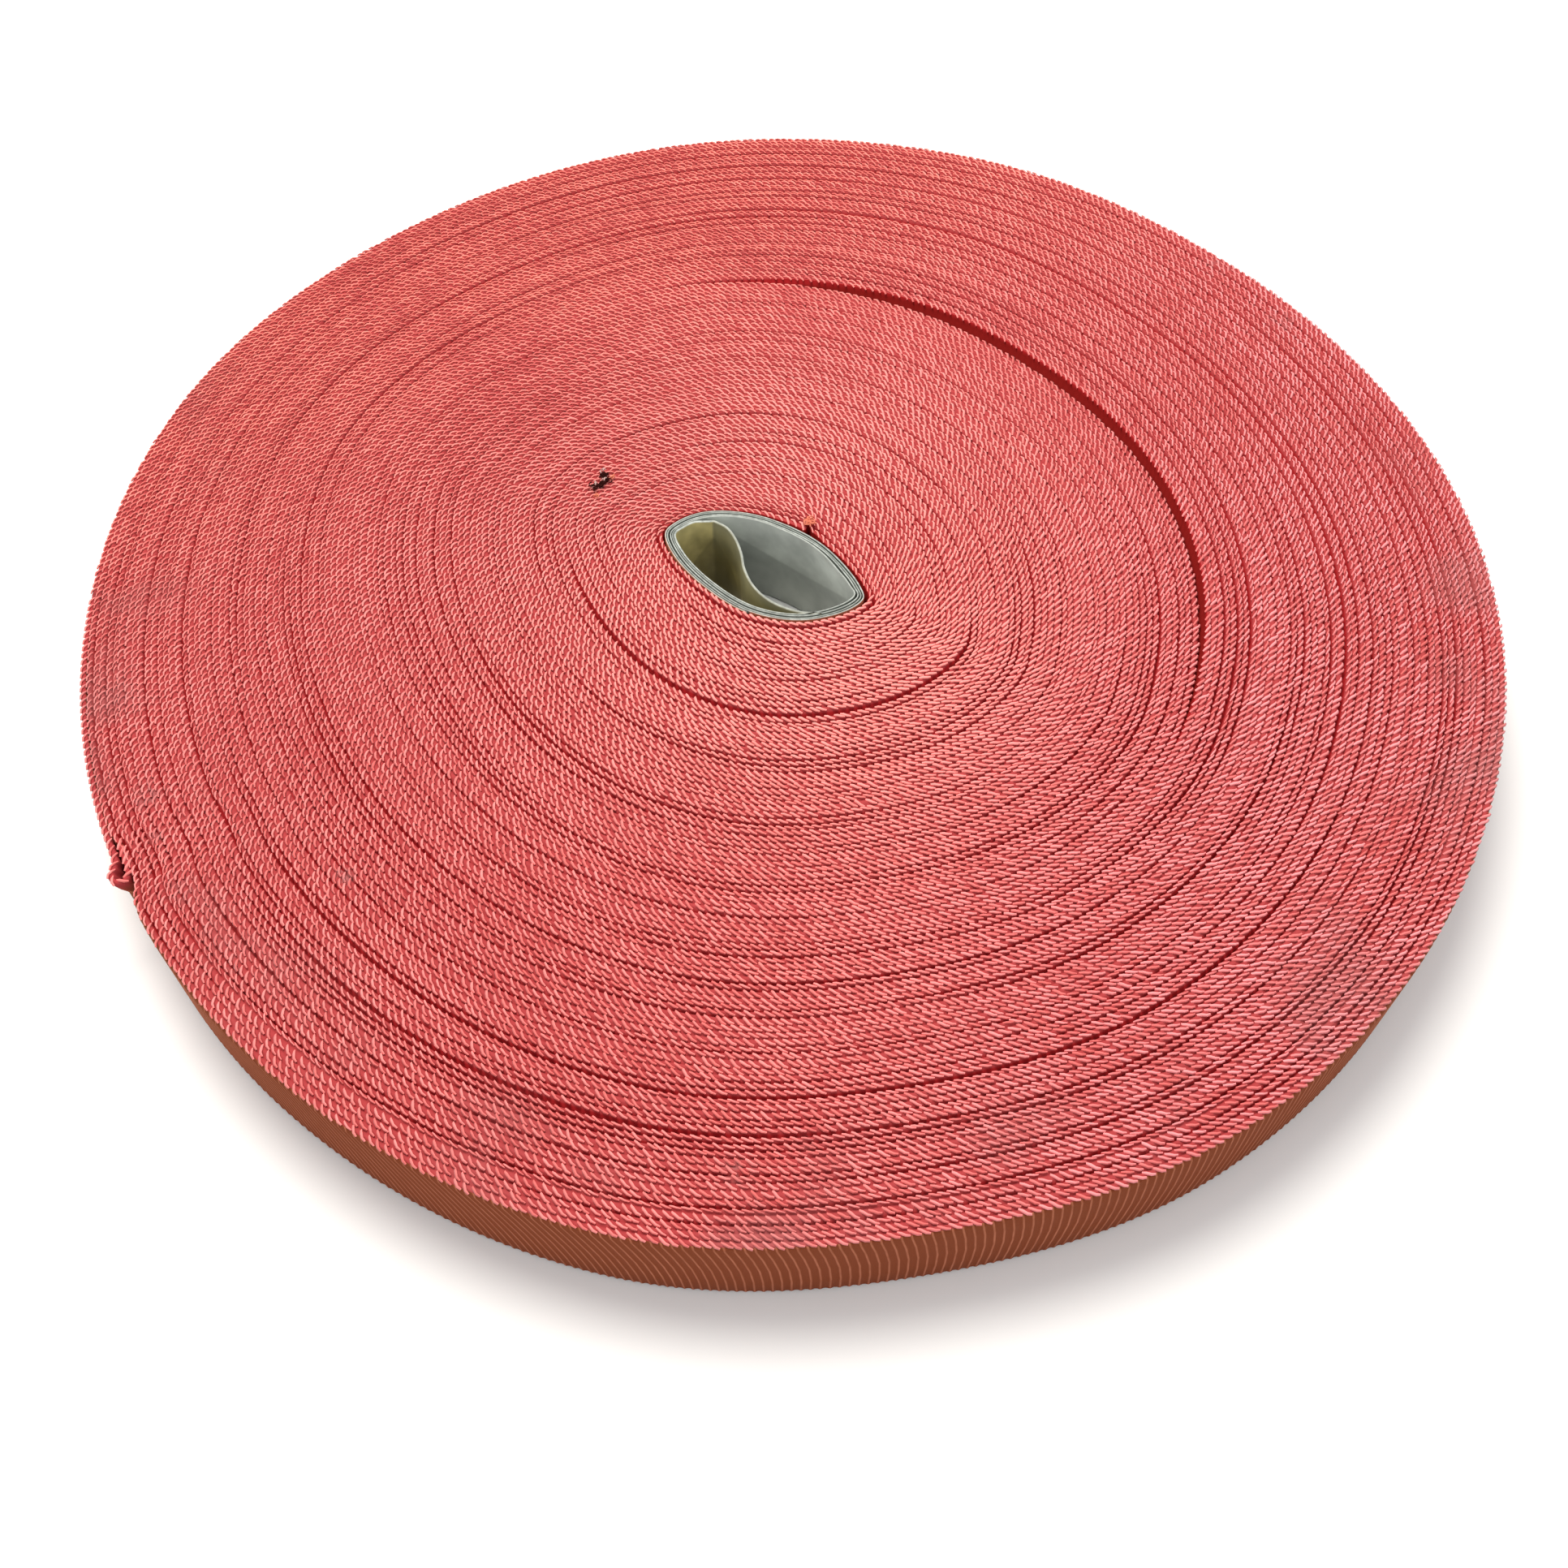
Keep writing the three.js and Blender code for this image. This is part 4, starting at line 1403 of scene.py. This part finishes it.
def tube(line, radius, sides=5):
    """Points, quads and end faces of a closed tube along a short line in space, thinner at its ends."""
    along = np.gradient(line, axis=0)
    along /= np.linalg.norm(along, axis=1)[:, None]
    side = np.cross(along, (0, 0, 1.0))
    side /= np.maximum(np.linalg.norm(side, axis=1), 1e-6)[:, None]
    up = np.cross(side, along)
    turn = 2 * math.pi * np.arange(sides) / sides
    share = np.linspace(0, 1, len(line))
    size = radius * (0.45 + 0.55 * np.sin(math.pi * share))
    ring = side[:, None] * np.cos(turn)[None, :, None] + up[:, None] * np.sin(turn)[None, :, None]
    points = (line[:, None] + ring * size[:, None, None]).reshape(-1, 3)
    quads = []
    for k in range(len(line) - 1):
        for s in range(sides):
            t = (s + 1) % sides
            quads.append([k * sides + s, k * sides + t, (k + 1) * sides + t, (k + 1) * sides + s])
    last = (len(line) - 1) * sides
    return points, quads, [list(range(sides))[::-1], [last + s for s in range(sides)]]


# Tufts of thread caught in the turns: place, length, width, direction and how far their fibres stray from it
TUFTS = {
    "dark_threads": [
        {"x": -21.55, "y": 12.55, "length": 1.1, "width": 0.42, "count": 34, "turn": 60, "stray": 1.5},
        {"x": -21.1, "y": 11.8, "length": 1.4, "width": 0.18, "count": 7, "turn": 47, "stray": 0.2},
        {"x": -21.5, "y": 11.3, "length": 1.5, "width": 0.16, "count": 8, "turn": 47, "stray": 0.2},
        {"x": -22.0, "y": 10.8, "length": 1.1, "width": 0.35, "count": 11, "turn": 60, "stray": 0.6},
        {"x": -22.4, "y": 10.3, "length": 0.9, "width": 0.2, "count": 3, "turn": 40, "stray": 0.4},
        {"x": -22.8, "y": 10.95, "length": 0.8, "width": 0.3, "count": 4, "turn": 40, "stray": 0.5},
    ],
    "pale_threads": [
        {"x": -21.7, "y": 11.9, "length": 1.1, "width": 0.35, "count": 4, "turn": 70, "stray": 0.6},
        {"x": -22.5, "y": 11.1, "length": 1.3, "width": 0.35, "count": 4, "turn": 100, "stray": 0.6},
        {"x": -21.9, "y": 13.3, "length": 1.0, "width": 0.4, "count": 3, "turn": 110, "stray": 0.5},
    ],
    "orange_threads": [
        {"x": -20.65, "y": 12.35, "length": 1.5, "width": 0.2, "count": 5, "turn": 55, "stray": 0.3},
        {"x": -22.3, "y": 9.6, "length": 1.0, "width": 0.2, "count": 3, "turn": 60, "stray": 0.4},
        {"x": 1.6, "y": 6.1, "length": 1.5, "width": 0.8, "count": 22, "turn": 60, "stray": 0.8},
    ],
}
THREAD_COLOURS = {
    "dark_threads": {"low": (0.010, 0.003, 0.003), "high": (0.04, 0.008, 0.006)},
    "pale_threads": {"low": (0.30, 0.16, 0.15), "high": (0.60, 0.42, 0.38)},
    "orange_threads": {"low": (0.50, 0.11, 0.06), "high": (0.82, 0.30, 0.20)},
}

# A fibre: how far it lies off its tuft's middle, its share of the tuft's length, and its form
FIBRE = {
    "off": 0.32,
    "reach": (0.35, 0.7),
    "bend": 0.35,
    "lift": (0, 0.18),
    "arch": (0.2, 0.8),
    "radius": (0.06, 0.11),
}
FIBRE_POINTS = 7


def fibre_line(rng, tuft):
    """Line of one fibre of a tuft, bent to one side and arched over the turns."""
    turn = math.radians(tuft["turn"]) + rng.normal(0, tuft["stray"])
    ahead = np.array([math.cos(turn), math.sin(turn), 0])
    beside = np.array([-ahead[1], ahead[0], 0])
    scatter = rng.normal(0, FIBRE["off"], 3) * (tuft["width"], tuft["width"], 0)
    start = np.array([tuft["x"], tuft["y"], 0]) + scatter
    reach = tuft["length"] * rng.uniform(*FIBRE["reach"])
    bend = rng.normal(0, FIBRE["bend"])
    share = np.linspace(-0.5, 0.5, FIBRE_POINTS)
    arch = 0.25 - share**2
    line = start + share[:, None] * reach * ahead + arch[:, None] * bend * 2 * beside
    lift = rng.uniform(*FIBRE["lift"])
    line[:, 2] = RIBBON_WIDTH + 0.02 + lift + arch * rng.uniform(*FIBRE["arch"])
    return line


def make_tufts(context):
    """Short stray fibres: dark tufts, a few pale ones between them, and the frayed inner end."""
    rng = np.random.default_rng(SEED + 20)
    for name, tufts in TUFTS.items():
        points, quads, ends = [], [], []
        for tuft in tufts:
            for _ in range(tuft["count"]):
                line = fibre_line(rng, tuft)
                body, faces, caps = tube(line, rng.uniform(*FIBRE["radius"]))
                offset = sum(len(p) for p in points)
                points.append(body)
                quads += [[v + offset for v in face] for face in faces]
                ends += [[v + offset for v in face] for face in caps]
        material, tree, shader = new_material(name, 0.95, gloss=0.02)
        colours = THREAD_COLOURS[name]
        colour = mix_colour(tree, noise(tree, 1500, 2.0), rgb(colours["low"]), rgb(colours["high"]))
        link_in(tree, shader.inputs["Base Color"], colour)
        new_piece(name, np.concatenate(points), quads, ends, material, "ribbon")


# The camera looks down on the front of the roll
CAMERA_PLACE = (-0.30, -117.91, 144.53)
CAMERA_TARGET = (-0.63, -28.81, 12.0)
CAMERA_ROLL = 0.015025
IMAGE_SIDE = 1932
FOCAL_PIXELS = 2000


def make_camera(context):
    """The camera, rolled a little to one side."""
    data = bpy.data.cameras.new("camera")
    data.sensor_width = 36
    data.lens = data.sensor_width * FOCAL_PIXELS / IMAGE_SIDE
    data.clip_start = 0.01
    data.clip_end = 20
    camera = bpy.data.objects.new("camera", data)
    place, target = Vector(CAMERA_PLACE) * MM, Vector(CAMERA_TARGET) * MM
    ahead = (target - place).normalized()
    right = ahead.cross(Vector((0, 0, 1))).normalized()
    up = right.cross(ahead)
    cosine, sine = math.cos(CAMERA_ROLL), math.sin(CAMERA_ROLL)
    turned_right = cosine * right + sine * up
    turned_up = cosine * up - sine * right
    turn = Matrix((turned_right, turned_up, -ahead)).transposed()
    camera.matrix_world = Matrix.Translation(place) @ turn.to_4x4()
    context.scene.collection.objects.link(camera)
    context.scene.camera = camera


def area_light(context, name, place, size, power, colour):
    """A round lamp that points at the middle of the roll's underside."""
    data = bpy.data.lights.new(name, "AREA")
    data.color = colour
    data.shape = "DISK"
    data.size = size
    data.energy = power
    light = bpy.data.objects.new(name, data)
    light.location = place
    light.rotation_euler = (Vector((0, 0, 0)) - Vector(place)).to_track_quat("-Z", "Y").to_euler()
    context.scene.collection.objects.link(light)


FLOOR_SIDE = 3.0
FLOOR_DROP = 0.0002


def make_stage(context):
    """The floor just below the roll, the even sky and the lamp."""
    look = context.scene.stage_look
    mesh = bpy.data.meshes.new("floor")
    side = FLOOR_SIDE
    corners = [(-side, -side, 0), (side, -side, 0), (side, side, 0), (-side, side, 0)]
    mesh.from_pydata(corners, [], [(0, 1, 2, 3)])
    material, tree, shader = new_material("floor_paper", 0.9)
    paper = mix_colour(tree, noise(tree, 4, 2.0), rgb(look.floor, 0.98), rgb(look.floor))
    link_in(tree, shader.inputs["Base Color"], paper)
    mesh.materials.append(material)
    floor = bpy.data.objects.new("floor", mesh)
    floor.location.z = -FLOOR_DROP
    context.scene.collection.objects.link(floor)
    world = bpy.data.worlds.new("soft_light")
    world.use_nodes = True
    background = world.node_tree.nodes["Background"]
    background.inputs["Color"].default_value = (0.985, 0.99, 1, 1)
    background.inputs["Strength"].default_value = look.sky
    context.scene.world = world
    area_light(context, "key_light", (-0.09, 0.14, 0.43), 0.3, look.key, (1.0, 0.94, 0.87))
    context.scene.view_settings.view_transform = "Standard"


class RIBBON_OT_turns(bpy.types.Operator):
    """Build the wound turns of ribbon and the ribbed face round the rim"""

    bl_idname = "ribbon_roll.turns"
    bl_label = "Wound turns"

    def execute(self, context):
        make_turns(context)
        make_face(context)
        return {"FINISHED"}


class RIBBON_OT_loops(bpy.types.Operator):
    """Build the selvedge loops on the top of every turn"""

    bl_idname = "ribbon_roll.loops"
    bl_label = "Selvedge loops"

    def execute(self, context):
        make_loops(context)
        return {"FINISHED"}


class RIBBON_OT_loose_end(bpy.types.Operator):
    """Build the loose end, flared at the rim and folded back on itself"""

    bl_idname = "ribbon_roll.loose_end"
    bl_label = "Loose end"

    def execute(self, context):
        make_loose_end(context)
        return {"FINISHED"}


class RIBBON_OT_core(bpy.types.Operator):
    """Build the layered card core with its S across the hole"""

    bl_idname = "ribbon_roll.core"
    bl_label = "Card core"

    def execute(self, context):
        make_core(context)
        return {"FINISHED"}


class RIBBON_OT_threads(bpy.types.Operator):
    """Build the dark and pale stray threads caught in the turns"""

    bl_idname = "ribbon_roll.threads"
    bl_label = "Stray threads"

    def execute(self, context):
        make_tufts(context)
        return {"FINISHED"}


class RIBBON_OT_stage(bpy.types.Operator):
    """Build the floor, the soft light and the camera"""

    bl_idname = "ribbon_roll.stage"
    bl_label = "Stage"

    def execute(self, context):
        make_stage(context)
        make_camera(context)
        return {"FINISHED"}


class RIBBON_PT_panel(bpy.types.Panel):
    """Lists the roll's settings and the steps that build it"""

    bl_label = "Ribbon roll"
    bl_idname = "RIBBON_PT_panel"
    bl_space_type = "VIEW_3D"
    bl_region_type = "UI"
    bl_category = "Ribbon Roll"

    def draw(self, context):
        layout = self.layout
        for name in SETTINGS:
            group = getattr(context.scene, name)
            box = layout.box()
            for key in group.__annotations__:
                box.prop(group, key)
        for operator in OPERATORS:
            layout.operator(operator.bl_idname)


SETTINGS = {
    "ribbon_sizes": RibbonSizes,
    "ribbon_colours": RibbonColours,
    "card_look": CardLook,
    "stage_look": StageLook,
}
OPERATORS = [
    RIBBON_OT_turns,
    RIBBON_OT_loops,
    RIBBON_OT_loose_end,
    RIBBON_OT_core,
    RIBBON_OT_threads,
    RIBBON_OT_stage,
]


def register():
    """Adds the settings to every scene, and the steps and the panel."""
    for group in SETTINGS.values():
        bpy.utils.register_class(group)
    for name, group in SETTINGS.items():
        setattr(bpy.types.Scene, name, bpy.props.PointerProperty(type=group))
    for operator in OPERATORS:
        bpy.utils.register_class(operator)
    bpy.utils.register_class(RIBBON_PT_panel)


def unregister():
    """Takes away what register added."""
    bpy.utils.unregister_class(RIBBON_PT_panel)
    for operator in reversed(OPERATORS):
        bpy.utils.unregister_class(operator)
    for name in SETTINGS:
        delattr(bpy.types.Scene, name)
    for group in reversed(list(SETTINGS.values())):
        bpy.utils.unregister_class(group)


def main():
    """Builds the whole roll and its stage."""
    register()
    bpy.ops.ribbon_roll.turns()
    bpy.ops.ribbon_roll.loops()
    bpy.ops.ribbon_roll.loose_end()
    bpy.ops.ribbon_roll.core()
    bpy.ops.ribbon_roll.threads()
    bpy.ops.ribbon_roll.stage()


if __name__ == "__main__":
    main()
